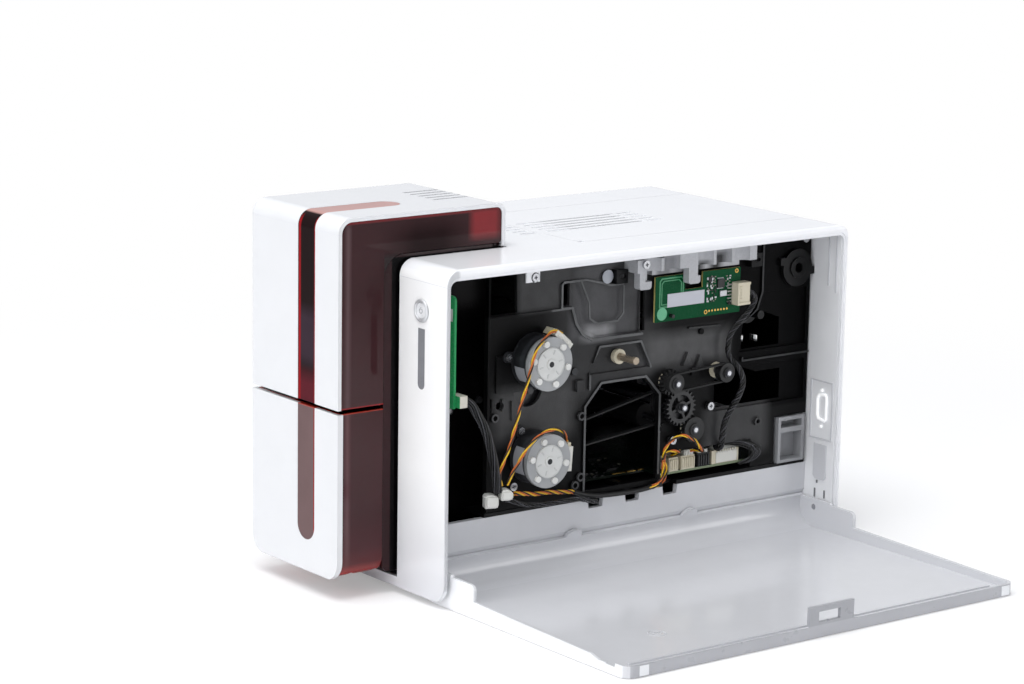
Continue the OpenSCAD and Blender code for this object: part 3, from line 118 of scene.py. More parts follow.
def zone(code, *bands, rough=0.06, metal=0.0, specular=0.3):
    def mask(tree):
        total = between(tree, *bands[0])
        for band in bands[1:]:
            total = node(tree, "ShaderNodeMath", {0: total, 1: between(tree, *band)}, operation="MULTIPLY")
        return total
    return mask, code, rough, metal, specular


def finish(name, code, rough, metal=0.0, grain_mm=0.5, depth=0.004, tone=0.05, wear=0.05, drift=24.0,
           edge=0.3, coat=0.0, specular=0.5, lay=(1, 1, 1), zones=()):
    """A moulded, painted or machined surface. Its tone drifts by tone over drift mm, its skin is
    grain_mm wide and depth mm deep, its roughness varies by wear and its edges look edge mm round.
    A real skin that is too fine to show is drawn as coarse as it needs to show.
    A zone is (mask maker, colour, roughness, metallic, specular): a place with another finish."""
    made = bpy.data.materials.new(name)
    made.use_nodes = True
    tree = made.node_tree
    shader = tree.nodes["Principled BSDF"]
    base = lin(code)
    cloud = node(tree, "ShaderNodeMapRange", {"Value": grain(tree, drift, 4.0), "From Min": 0.3,
                                              "From Max": 0.7, "To Min": 1 - tone, "To Max": 1 + tone})
    skin = grain(tree, grain_mm, 2.0, 0.6, lay)
    dull = node(tree, "ShaderNodeMapRange", {"Value": skin, "From Min": 0.3, "From Max": 0.7,
                                             "To Min": -wear, "To Max": wear})
    colour, gloss, shine, sheen = base, rough, metal, specular
    for mask_of, zone_code, zone_rough, zone_metal, zone_specular in zones:
        mask = mask_of(tree)
        colour = node(tree, "ShaderNodeMix", {0: mask, 6: colour, 7: lin(zone_code)},
                      data_type="RGBA").outputs[2]
        gloss = node(tree, "ShaderNodeMix", {0: mask, 2: gloss, 3: zone_rough})
        shine = node(tree, "ShaderNodeMix", {0: mask, 2: shine, 3: zone_metal})
        sheen = node(tree, "ShaderNodeMix", {0: mask, 2: sheen, 3: zone_specular})
    tinted = node(tree, "ShaderNodeVectorMath", {0: colour if zones else base[:3], 3: cloud},
                  operation="SCALE")
    tree.links.new(tinted.outputs[0], shader.inputs["Base Color"])
    total = node(tree, "ShaderNodeMath", {0: gloss, 1: dull}, operation="ADD", use_clamp=True)
    tree.links.new(total.outputs[0], shader.inputs["Roughness"])
    rounded = node(tree, "ShaderNodeBevel", {"Radius": edge * MM}, samples=4)
    bump = node(tree, "ShaderNodeBump", {"Height": skin, "Distance": depth * MM, "Strength": 1.0,
                                         "Normal": rounded})
    tree.links.new(bump.outputs[0], shader.inputs["Normal"])
    if zones:
        tree.links.new(shine.outputs[0], shader.inputs["Metallic"])
        tree.links.new(sheen.outputs[0], shader.inputs["Specular IOR Level"])
    else:
        shader.inputs["Metallic"].default_value = metal
        shader.inputs["Specular IOR Level"].default_value = specular
    shader.inputs["Coat Weight"].default_value = coat
    shader.inputs["Coat Roughness"].default_value = 0.08
    return made


def paint(material, *names):
    """Gives CAD nodes a material; their meshes stay as packed."""
    for name in names:
        nodes[name].data.materials.clear()
        nodes[name].data.materials.append(material)


# Painted shade: thin grey lines across the front faces where the rounding of the top edge begins.
FILLET_SHADE = "CFD0D5"
CASE_FILLET_SHADE, FEEDER_FILLET_SHADE = (2, 207.38, 207.62, 0.06), (2, 236.88, 237.12, 0.06)
FRONT_LIGHT_AND_SHADE = (1, -154, -143.6, 0.9)
white = finish("gloss_white_abs", "F4F5F8", 0.24, grain_mm=0.6, depth=0.0012, tone=0.01, wear=0.02, edge=0.5,
               coat=0.25, zones=[
                   # Painted light and shade: the front faces are painted pure white and darker towards their
                   # lower part, and the side face of the front rim is painted darker.
                   zone("FFFFFF", FRONT_LIGHT_AND_SHADE, rough=0.24, specular=0.5),
                   zone("DCDDE1", FRONT_LIGHT_AND_SHADE, (2, -60, 48, 40), rough=0.24, specular=0.4),
                   zone("CACBCF", (0, 101.5, 104, 0.4), (1, -150, -136, 1), rough=0.3, specular=0.4),
                   zone(FILLET_SHADE, CASE_FILLET_SHADE, (1, -150, -139, 0.5), rough=0.5, specular=0.5)])
paint(white, "body_shell", "left_cover", "top_lid")
# The covers are the case's white ABS, painted a shade darker, with their front faces darker still, as painted
# shade against the strong light on them.
white_cover = finish("gloss_white_cover", "E6E7EA", 0.2, grain_mm=0.6, depth=0.0012, tone=0.01, wear=0.02,
                     edge=0.5, coat=0.3, zones=[
                         zone("DFE0E2", (1, -200, -187.4, 1.6), rough=0.2, specular=0.4),
                         zone(FILLET_SHADE, FEEDER_FILLET_SHADE, (1, -200, -180, 0.5), rough=0.5, specular=0.5)])
paint(white_cover, "feeder_shell", "hopper_shell")

# ---- Base tray and rear panel ----
# Two injection mouldings of light grey satin ABS, the same resin as the door, with a fine spark-eroded
# texture. The tray carries the whole machine; the rear panel is screwed to it.

satin = finish("satin_grey_abs", "D5D6DA", 0.4, tone=0.02, edge=0.4)
paint(satin, "base_tray")
# Painted light: the rear panel is the tray's grey resin, painted nearly white to lighten its shaded inner
# face.
paint(finish("satin_rear_abs", "F4F5F7", 0.4, tone=0.02, edge=0.4), "rear_panel")

# ---- Side door ----
# One large light grey ABS moulding with a rolled hinge edge, turning on two steel pins. It is polished
# inside, so it mirrors the machine softly. Two clear blocks are pressed into its outer lip.

def block(bm, low, high, place=Matrix()):
    """A box from its lowest to its highest corner, in mm, moved by a matrix."""
    size = [h - l for l, h in zip(low, high)]
    middle = [(h + l) / 2 for l, h in zip(low, high)]
    bmesh.ops.create_cube(bm, size=1.0,
                          matrix=place @ Matrix.Translation(middle) @ Matrix.Diagonal((*size, 1)))


def plate(bm, outline, axis, low, high, holes=()):
    """A flat plate: an outline with holes in the plane square to axis, from low to high mm."""
    order = [(1, 2), (0, 2), (0, 1)][axis]
    loops = []
    for loop in (outline, *holes):
        corners = []
        for u, v in loop:
            place = [0.0, 0.0, 0.0]
            place[order[0]], place[order[1]], place[axis] = u, v, low
            corners.append(bm.verts.new(place))
        loops += [bm.edges.new((a, b)) for a, b in zip(corners, corners[1:] + corners[:1])]
    filled = bmesh.ops.triangle_fill(bm, use_beauty=True, edges=loops)["geom"]
    faces = [f for f in filled if isinstance(f, bmesh.types.BMFace)]
    raised = bmesh.ops.extrude_face_region(bm, geom=faces)["geom"]
    shift = [0.0, 0.0, 0.0]
    shift[axis] = high - low
    bmesh.ops.translate(bm, vec=shift, verts=[v for v in raised if isinstance(v, bmesh.types.BMVert)])


def ring(u, v, radius, count=24, start=0.0, sweep=360.0):
    """Points on a circle or an arc in a plate's plane."""
    last = count if sweep >= 360 else count - 1
    return [(u + radius * math.cos(math.radians(start + sweep * i / last)),
             v + radius * math.sin(math.radians(start + sweep * i / last))) for i in range(count)]


def seat(made, replaces, body="case"):
    """Puts a finished object in the scene, where it rides on a body."""
    scene.collection.objects.link(made)
    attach(made, body)
    if replaces:
        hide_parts(*replaces)


def piece(name, bm, material, bevel=0.0, body="case", replaces=()):
    """Makes a piece from a mesh in mm, rounds its edges by bevel mm and lets it ride on a body."""
    bmesh.ops.remove_doubles(bm, verts=bm.verts, dist=0.0005)
    bmesh.ops.recalc_face_normals(bm, faces=bm.faces)
    bmesh.ops.scale(bm, vec=(MM, MM, MM), verts=bm.verts)
    mesh = bpy.data.meshes.new(name)
    bm.to_mesh(mesh)
    bm.free()
    mesh.shade_smooth()
    mesh.set_sharp_from_angle(angle=math.radians(32))
    mesh.materials.append(material)
    made = bpy.data.objects.new(name, mesh)
    if bevel:
        rounding = made.modifiers.new("rounding", "BEVEL")
        rounding.width = bevel * MM
        rounding.segments = 2
        rounding.limit_method = "ANGLE"
        rounding.angle_limit = math.radians(40)
    seat(made, replaces, body)


door_grey = finish("polished_grey_abs", "D9DADE", 0.2, grain_mm=9.0, depth=0.01, tone=0.02, wear=0.03,
                   edge=0.5, coat=0.35, drift=60.0, zones=[
                       # Painted light and shade: the near end of the door is painted lighter, the outward
                       # face of the far lip darker, and the part of that face from 8.4 to 21 mm high between
                       # Y 5 and 44 mm darker still.
                       zone("F6F7F9", (1, -140, -138.2, 0.3), rough=0.3, specular=0.5),
                       zone("B2B3B8", (0, 275.4, 277.5, 0.2), rough=0.3, specular=0.5),
                       zone("A4A5AA", (2, 8.4, 21, 0.2), (1, 5, 44, 0.3), (0, 273, 278, 0.2), rough=0.3,
                            specular=0.5)])
paint(door_grey, "side_door")

DOOR_FACE = 3.1
mark = bmesh.new()
MARK = (220.0, -69.0)
plate(mark, ring(*MARK, 6.0, 40), 2, DOOR_FACE, DOOR_FACE + 0.25, [ring(*MARK, 5.2, 40)])
plate(mark, ring(*MARK, 2.6, 28), 2, DOOR_FACE, DOOR_FACE + 0.25, [ring(*MARK, 2.0, 28)])
block(mark, (MARK[0] - 0.3, MARK[1] + 0.3, DOOR_FACE), (MARK[0] + 0.3, MARK[1] + 4.1, DOOR_FACE + 0.25))
piece("door_mould_mark", mark, satin, body="side_door")

clear = finish("clear_insert", "EDEFF2", 0.08, grain_mm=3.0, depth=0.002, tone=0.02, wear=0.02, coat=0.6)
inserts = bmesh.new()
for y0, y1 in ((-128.8, -121.6), (173.3, 180.5)):
    block(inserts, (273.8, y0, 0.9), (276.8, y1, 7.4))
piece("door_lip_inserts", inserts, clear, bevel=0.3, body="side_door")

# ---- Red tinted feeder and hopper panels ----
# Dark red transparent polycarbonate, so deep that it reads as glossy brown-red. It is drawn opaque: the
# red glow of its rims and lower edges where light comes through, its reflections, and the dark and pale
# insides that show through it are painted into its colour.

def tint(name, zones):
    """Deep red polycarbonate, polished, with painted places where it glows, mirrors things or shows what lies
    behind.
    """
    return finish(name, "35191C", 0.06, grain_mm=14.0, depth=0.006, tone=0.06, wear=0.01, edge=0.6,
                  specular=0.18, zones=zones)


SLOT_X = (0, 3.6, 23.4, 0.05)
SLOT_FRONT = (1, -192, -120, 0.1)
feeder_red = tint("feeder_red_polycarbonate", [
    # Painted shade: darker where the shaded inside of the feeder shows through.
    zone("1E0C0E", (1, -146, -96, 14), (2, 206, 240, 8), specular=0.08),
    # Painted reflections: lighter lower down, where the panel mirrors the floor, and in a band near the
    # front, where it mirrors the white front.
    zone("381A1D", (2, 100, 165, 25)),
    zone("523A3D", (1, -184.5, -181, 1.4), (2, 120, 242, 3)),
    # Painted light: a red glow at the top rear, where light comes in through the top, and along the top and
    # front rims.
    zone("7E1A20", (1, -88, -66, 3), (2, 226, 250, 3)),
    zone("6A1218", (1, -192, -66, 0.2), (2, 242.6, 244.6, 0.5)),
    zone("5E1218", (1, -189.4, -187.2, 0.4)),
    zone("1D0C0E", (1, -155.5, -145, 0.4), (2, 20, 221, 2)),
    # Painted light: a red glow along the lower edge.
    zone("8E1A1C", (2, 121, 126.2, 0.3)),
    # The window: the inside seen through it in painted shade, with a paler and a redder band of painted
    # light, red glows along its edges and a painted highlight at its top.
    zone("180809", SLOT_X, SLOT_FRONT, specular=0.04),
    zone("33252F", SLOT_X, SLOT_FRONT, (2, 150, 184, 5), specular=0.04),
    zone("571722", SLOT_X, SLOT_FRONT, (2, 122, 143, 6), specular=0.04),
    zone("8E1218", (0, 4.5, 6.9, 0.4), SLOT_FRONT, (2, 120, 243, 2), specular=0.04),
    zone("8E1218", (0, 22.1, 23.4, 0.2), SLOT_FRONT, (2, 120, 244, 1), specular=0.04),
    zone("B98E88", SLOT_X, SLOT_FRONT, (2, 246, 250, 0.4), specular=0.04),
])
paint(feeder_red, "feeder_tint")
hopper_red = tint("hopper_red_polycarbonate", [
    # Painted reflections and glow: lighter towards the bottom, where the panel mirrors the floor, a band near
    # the front, where it mirrors the white front, and a red glow along the lower edge.
    zone("3C1E21", (2, 40, 125, 25)),
    zone("472226", (2, 8, 44, 12)),
    zone("5A3A3D", (1, -184.5, -181, 1.4)),
    zone("62282A", (2, 6, 24, 9)),
    zone("A62E28", (2, 4, 19, 5)),
    zone("1D0C0E", (1, -155.5, -145, 0.4)),
    # Painted light: a red glow along the front rim.
    zone("6A1218", (1, -189.4, -187.2, 0.4)),
    # The window shows the lit inside in painted light, with a red glow along one edge.
    zone("6C5656", SLOT_X, SLOT_FRONT, specular=0.08),
    zone("8E1A1C", (0, 21.9, 23.4, 0.2), SLOT_FRONT, specular=0.08),
    # Painted light: a red glow along the top edge.
    zone("C03A28", (2, 122.2, 125.4, 0.4)),
])
paint(hopper_red, "hopper_tint")

# ---- Black inner mouldings ----
# Black ABS and glass-filled nylon frames that carry the mechanism, moulded and screwed together. Satin
# outside and matt in the bays; the door-side plate has lighter patches of painted sheen where light
# reaches it and near-black patches of painted shade deep in the bay and in its openings.

paint(finish("black_abs", "0B0B0D", 0.42, grain_mm=0.4, depth=0.006, tone=0.15, wear=0.08, specular=0.18),
      "card_magazine", "chassis_left", "lower_deck", "hopper_tray", "slot_brackets")
paint(finish("housing_black_abs", "060506", 0.3, grain_mm=0.4, depth=0.006, tone=0.15, wear=0.06,
             specular=0.08, zones=[zone("2A1114", (1, -160, -149.4, 0.5), specular=0.24),
                                   zone("2A1114", (2, 218.8, 224, 0.3), specular=0.24)]),
      "front_housing")
RIM_TOP = (0, 72.3, 72.9, 0.05)
WEB_SHEEN_AND_SHADE = (((-34, 50, 12), (112, 208, 9), "2A2A2B", 0.45, 0.25),
               ((-24, 36, 3), (155, 204, 3), "48484A", 0.55, 0.3),
               ((-66, -20, 3), (178, 208, 3), "323233", 0.5, 0.3),
               ((-84, -20, 6), (94, 128, 6), "363637", 0.42, 0.4),
               ((-12, 12, 5), (154, 163, 3), "8E8E90", 0.5, 0.3),
               ((38, 112, 6), (128, 151, 5), "444445", 0.42, 0.4),
               ((-92, -68, 1), (178, 212, 1), "030304", 0.5, 0.05),
               ((117, 190, 4), (108, 212, 4), "040405", 0.5, 0.06),
               ((98, 190, 3), (90, 124, 1), "050506", 0.5, 0.06),
               ((94, 150, 5), (60, 96, 4), "343435", 0.45, 0.35))
web_black = finish("web_black_nylon", "0A0A0B", 0.5, grain_mm=0.9, depth=0.12, tone=0.3, wear=0.12, edge=0.4,
                   specular=0.12,
                   zones=[zone(code, (1, *y), (2, *z), rough=rough, specular=specular)
                          for y, z, code, rough, specular in WEB_SHEEN_AND_SHADE]
                   # Painted highlights on the tops of the raised rims, dimmer towards the rear.
                   + [zone("5C5D5E", RIM_TOP, (1, -40, 60, 1), rough=0.45),
                      zone("2E2F30", RIM_TOP, (1, 60, 190, 1), rough=0.45)])
paint(web_black, "chassis_right")
paint(finish("bar_black_nylon", "060607", 0.45, depth=0.01, tone=0.12, wear=0.08, specular=0.1),
      "chassis_crossbars", "head_arm")
paint(finish("hinge_grey_acetal", "0C0C0D", 0.36, grain_mm=0.4, tone=0.06, specular=0.2), "lid_hinge_discs")
paint(finish("spool_black_abs", "0E0E10", 0.36, grain_mm=0.4, depth=0.005, tone=0.1, wear=0.06,
             specular=0.25), "takeup_spool", "supply_spool")

# ---- Grey inner mouldings ----
# The card weight, the feed gears and the framed bracket in the rear corner: moulded grey acetal and
# polycarbonate, smooth and a little oily. The bracket is screwed to the rear wall.

paint(finish("grey_acetal", "8C8D90", 0.35, wear=0.06), "card_pusher")
paint(finish("dark_grey_acetal", "2B2B2D", 0.35, wear=0.06), "feed_idler_gear", "feed_drive_gear")
paint(finish("bracket_grey", "97989B", 0.4, depth=0.006, wear=0.06), "rear_bracket")

# ---- Bracket under the roof ----
# A rail of translucent grey polycarbonate, moulded with arches and hooks and screwed under the roof. It
# holds the upper edge of the antenna board. It is painted darker in places and near-black in two arches,
# as painted shade where the bay shows through.

paint(finish("translucent_grey_rail", "B4B5B9", 0.28, grain_mm=0.7, depth=0.005, coat=0.2,
             zones=[zone(code, (1, y0, y1, y_soft), (2, 190, z1, z_soft), rough=0.3)
                    for y0, y1, y_soft, z1, z_soft, code in (
                        (75, 85, 1.5, 200.6, 0.8, "7C7D80"), (77, 82, 1.5, 198.8, 0.8, "161618"),
                        (89, 101, 2, 206, 2, "7A7B7E"), (92, 98, 1.5, 203.5, 1.5, "161618"),
                        (44, 56, 2, 207, 3, "85868A"))]), "top_bracket")

# ---- Motors ----
# Stepper motors: drawn steel cans painted satin black, screwed to the plates by their ears. A light grey
# moulded cap with six bosses on a ring closes each of them.

paint(finish("motor_black_paint", "232427", 0.42, grain_mm=0.35, depth=0.012, tone=0.1, wear=0.08,
             specular=0.35, zones=[zone("34363A", (0, 80.4, 84.6, 0.2), rough=0.5),
                                   zone("8E8F92", (0, 86.2, 87.6, 0.1), rough=0.35, metal=0.8)]),
      "upper_motor", "lower_motor", "ribbon_motor")


def about(y, z, radius, code, rough, metal=0.0, specular=0.5):
    """A zone with a finish of its own, nearer than radius mm to the X axis line through y, z."""
    def mask(tree):
        place = node(tree, "ShaderNodeTexCoord").outputs["Object"]
        flat = node(tree, "ShaderNodeVectorMath", {0: place, 1: (0, 1, 1)}, operation="MULTIPLY")
        far = node(tree, "ShaderNodeVectorMath", {0: flat, 1: (0, y * MM, z * MM)}, operation="DISTANCE")
        return node(tree, "ShaderNodeMapRange", {"Value": far.outputs["Value"],
                                                 "From Min": (radius - 0.05) * MM,
                                                 "From Max": (radius + 0.05) * MM,
                                                 "To Min": 1.0, "To Max": 0.0})
    return mask, code, rough, metal, specular


UPPER_MOTOR, LOWER_MOTOR = (-54.3, 147.1), (-54.3, 83.2)
CAP_BOSS_CIRCLE = 14
# Painted light and shade on each cap, which is one light grey moulding: its middle disc and its bosses are
# painted lighter, the rest darker.
cap_light_and_shade = []
for (y, z), first in ((UPPER_MOTOR, -13), (LOWER_MOTOR, -11)):
    cap_light_and_shade.append(about(y, z, 11.05, "D2D3D1", 0.34))
    for k in range(6):
        turn = math.radians(first + 60 * k)
        cap_light_and_shade.append(about(y + CAP_BOSS_CIRCLE * math.cos(turn), z + CAP_BOSS_CIRCLE * math.sin(turn),
                               2.15, "DDDDDA", 0.34))
paint(finish("motor_cap_steps", "A0A2A4", 0.36, grain_mm=0.6, depth=0.006, tone=0.04, wear=0.06,
             zones=cap_light_and_shade), "motor_caps")

# ---- Steel and brass parts ----
# Steel pins, screws and sockets turned or pressed and plated bright, a bronzed spindle with a black toothed
# far end, and brass pinions pressed on the motor shafts.

def lathe_turned(name, code, rough, metal=1.0, tone=0.04, zones=()):
    """Bright metal with the fine rings that a lathe leaves."""
    return finish(name, code, rough, metal=metal, grain_mm=0.25, depth=0.003, tone=tone, wear=0.06,
                  lay=(6, 1, 1), zones=zones)


paint(lathe_turned("turned_steel", "B9BABD", 0.24), "door_hinge_pins", "feeder_hinge_pins", "case_screws",
      "rear_sockets", "button_ring")
paint(lathe_turned("bronzed_spindle", "A39684", 0.3, metal=0.55, tone=0.05,
                   zones=[zone("0E0E0F", (0, -110, 66, 0.5), rough=0.5, specular=0.15)]),
      "takeup_spindle")
paint(lathe_turned("machined_brass", "C9A25A", 0.26, tone=0.05),
      "upper_pinion", "drive_pulley", "ribbon_pinion")

# ---- Gear train, rollers and belts ----
# Moulded black acetal gears and rubber-covered rollers turn on ground steel shafts, whose turned ends show
# as bright rings. Neoprene toothed belts join them, and the same rubber makes the feet.


def shaft_end(y, z, outer, inner):
    """The dark rim and the bright middle of a shaft's end."""
    return [about(y, z, outer, "54555A", 0.3, 0.8), about(y, z, inner, "D2D3D6", 0.3, 0.7)]


paint(finish("gear_acetal", "1C1C1E", 0.32, grain_mm=0.4, tone=0.1, wear=0.06,
             zones=shaft_end(66.6, 101.7, 2.62, 1.5)), "main_gear")
for name, y, z in (("platen_roller", 57.6, 119.6), ("rear_roller", 102, 122),
                   ("output_roller", 77.8, 85.1), ("feed_roller", -104, 114.8)):
    paint(finish(name + "_rubber", "19191A", 0.55, grain_mm=0.3, depth=0.01, tone=0.1, wear=0.08,
                 zones=shaft_end(y, z, 2.6, 0.6 * 2.6)), name)
paint(finish("foot_rubber", "1B1B1C", 0.7, grain_mm=0.3, depth=0.02, tone=0.12, wear=0.08),
      "rubber_feet", "drive_belt", "roller_belt")
paint(finish("tacky_blue_silicone", "3C6FA8", 0.3, depth=0.006, tone=0.06, wear=0.06,
             zones=[about(-20, 134.9, 2.6, "3A3B3D", 0.4, 0.6, 0.3)]), "cleaning_roller")

# ---- Nylon bushes, clips and connector housings ----
# Natural nylon: creamy, slightly waxy, with a soft edge. The bushes are pushed into the plates from outside,
# and the connector housings are soldered to the two boards that the leads end at, one of them black.

cream = finish("natural_nylon", "D3CBB4", 0.38, grain_mm=0.4, depth=0.006, wear=0.06)
paint(cream, "shaft_bushes")
paint(finish("connector_nylon", "CFC7B0", 0.4, grain_mm=0.4, depth=0.006, wear=0.06,
             zones=[zone("1A1A1B", (1, 90.6, 102.6, 0.1), rough=0.4)]), "board_connectors")
white_nylon = finish("white_nylon", "DDDDD8", 0.36, depth=0.006, tone=0.03, wear=0.06)
paint(white_nylon, "cable_clips")

# ---- Circuit boards ----
# Glass-epoxy boards under glossy green solder mask, held by their edges and by screws. The main board lies
# deep in the bay and is painted a darker green as painted shade; the light board carries a white light guide.

paint(finish("green_solder_mask", "084A2B", 0.26, grain_mm=0.7, tone=0.08, specular=0.07,
             zones=[zone("B7A868", (0, 76.5, 77.9, 0.02), rough=0.6)]), "antenna_board")
paint(finish("light_board_mask", "2C9A5C", 0.28, grain_mm=0.7, tone=0.08, specular=0.2,
             zones=[zone("D8D8D6", (2, 183, 191, 0.2), (0, 70, 90, 0.2), rough=0.4),
                    zone("D6D2C6", (1, -130.3, -120, 0.05), rough=0.4)]), "light_board")
paint(finish("main_board_mask", "07130C", 0.3, grain_mm=0.7, tone=0.08, specular=0.2,
             zones=[zone("7F8C70", (0, 67.8, 69, 0.05), rough=0.5)]), "main_board")

# ---- Print head ----
# A thermal head on an extruded aluminium heat sink, clipped under the head arm. The fine lines of the
# extrusion run along X.

paint(finish("head_aluminium", "A6A8AB", 0.35, metal=0.9, grain_mm=0.3, depth=0.006, wear=0.06,
             lay=(0.1, 1, 1)), "print_head")

# ---- Power button and status window ----
# A light grey button cap under a clear coat, held by a spring in its ring, and the smoke-grey polycarbonate
# light guide that is pressed into the front strip below it.

paint(finish("button_cap", "EDEEF0", 0.25, depth=0.002, tone=0.02, wear=0.03, coat=0.3), "power_button")
paint(finish("status_smoke", "8B8C91", 0.2, grain_mm=0.6, depth=0.002, tone=0.03, wear=0.03, coat=0.4),
      "status_window")

# ---- Button ring, cap and status marks ----
# A satin-chromed ring round a pearly cap with two raised rings and a plain power symbol, and three faint
# light spots in the status window.

ring_low, ring_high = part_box("button_ring")
RING_FACE = ring_low.y / MM
BUTTON = ((ring_low.x + ring_high.x) / 2 / MM, (ring_low.z + ring_high.z) / 2 / MM)


def arc(u, v, inner, outer, start, sweep, count=33):
    """The outline of part of a flat ring."""
    return ring(u, v, outer, count, start, sweep) + ring(u, v, inner, count, start, sweep)[::-1]


bezel = bmesh.new()
BEZEL_SIDES = 64
BEZEL_PROFILE = [(5.15, 0.0), (5.3, -0.6), (5.9, -1.05), (6.6, -1.0), (7.3, -0.5), (7.5, 0.0)]
hoops = []
for k in range(BEZEL_SIDES):
    turn = math.tau * k / BEZEL_SIDES
    hoops.append([bezel.verts.new((BUTTON[0] + radius * math.cos(turn), RING_FACE + 0.1 + lift,
                                   BUTTON[1] + radius * math.sin(turn))) for radius, lift in BEZEL_PROFILE])
for here, there in zip(hoops, hoops[1:] + hoops[:1]):
    for i in range(len(BEZEL_PROFILE)):
        j = (i + 1) % len(BEZEL_PROFILE)
        bezel.faces.new((here[i], here[j], there[j], there[i]))
chrome = finish("satin_chrome", "D9DADD", 0.34, metal=0.45, grain_mm=0.3, depth=0.002, tone=0.03, wear=0.04)
piece("button_bezel", bezel, chrome)
cap_face = bmesh.new()
for inner, outer in ((3.9, 4.55), (2.9, 3.3)):
    plate(cap_face, ring(*BUTTON, outer, 48), 1, RING_FACE - 0.5, RING_FACE - 0.1, [ring(*BUTTON, inner, 48)])
pearl = finish("button_pearl", "F1F2F4", 0.22, depth=0.002, tone=0.02, coat=0.4)
piece("button_cap_rings", cap_face, pearl, bevel=0.1, body="power_button")
symbol = bmesh.new()
x, z = BUTTON
stroke = [(x - 0.2, z + 0.6), (x + 0.2, z + 0.6), (x + 0.2, z + 2.4), (x - 0.2, z + 2.4)]
for outline in (arc(*BUTTON, 1.35, 1.75, 130, 280), stroke):
    plate(symbol, outline, 1, RING_FACE - 0.34, RING_FACE - 0.1)
mark_grey = finish("symbol_grey", "8D8F94", 0.4, grain_mm=0.4, depth=0.002, tone=0.03, edge=0.05)
piece("power_symbol", symbol, mark_grey, body="power_button")
spots = bmesh.new()
for z in (145.5, 157.5, 169.5):
    plate(spots, arc(74.7, z, 1.2, 1.6, 20, 320), 1, RING_FACE + 0.58, RING_FACE + 0.76)
spot_grey = finish("status_spot_grey", "77787D", 0.35, grain_mm=0.4, depth=0.002, tone=0.03, edge=0.05)
piece("status_spots", spots, spot_grey)

# ---- Twisted leads of the motors ----
# Three stranded copper leads each, in orange, yellow and brown PVC, twisted together by hand. They run from
# the motor plugs down to the nylon clips and on, as one bundle, under the bay to the main board.

UPPER_LEAD = [[86.2, -42, 166], [88, -50, 168], [92, -60, 165], [93, -68, 158], [93, -72, 146],
              [93, -76, 134], [93, -80, 122], [93, -84, 110], [93, -88, 98], [92, -92, 88],
              [91, -94, 80], [90, -92, 72]]
LOWER_LEAD = [[83, -34, 92], [87, -40, 100], [91, -52, 104], [93, -64, 102], [93, -74, 95],
              [93, -81, 86], [92, -86, 78], [90, -87, 72]]
TRUNK_LEAD = [[88, -80, 65], [86, -70, 63], [84, -60, 61], [82, -48, 60], [80, -36, 58],
              [78, -24, 56], [76, -12, 52], [73.5, 2, 49], [73.5, 20, 48], [73.5, 40, 48],
              [74, 54, 50], [76, 57, 58], [79, 52, 68], [83, 51, 78], [86, 58, 84],
              [86, 69, 82], [84, 79, 74], [79, 86, 69], [70, 87, 68], [64, 84, 66]]


def node_group(name, numbers):
    """A geometry node group with a geometry and some named numbers as inputs, and its input sockets."""
    tree = bpy.data.node_groups.new(name, "GeometryNodeTree")
    for label, kind in (("Geometry", "Geometry"), *((number, "Float") for number in numbers)):
        tree.interface.new_socket(label, in_out="INPUT", socket_type="NodeSocket" + kind)
    tree.interface.new_socket("Geometry", in_out="OUTPUT", socket_type="NodeSocketGeometry")
    return tree, node(tree, "NodeGroupInput").outputs


def settle(name, carrier, tree, numbers, replaces=()):
    """Runs a node group with its numbers on a carrier, and keeps the result as a plain mesh piece."""
    scene.collection.objects.link(carrier)
    modifier = carrier.modifiers.new(name, "NODES")
    modifier.node_group = tree
    for socket in tree.interface.items_tree:
        if socket.name in numbers:
            modifier[socket.identifier] = numbers[socket.name]
    view = bpy.context.evaluated_depsgraph_get()
    mesh = bpy.data.meshes.new_from_object(carrier.evaluated_get(view))
    mesh.name = name
    bpy.data.objects.remove(carrier)
    seat(bpy.data.objects.new(name, mesh), replaces)


STRAND_STEP = 1.3


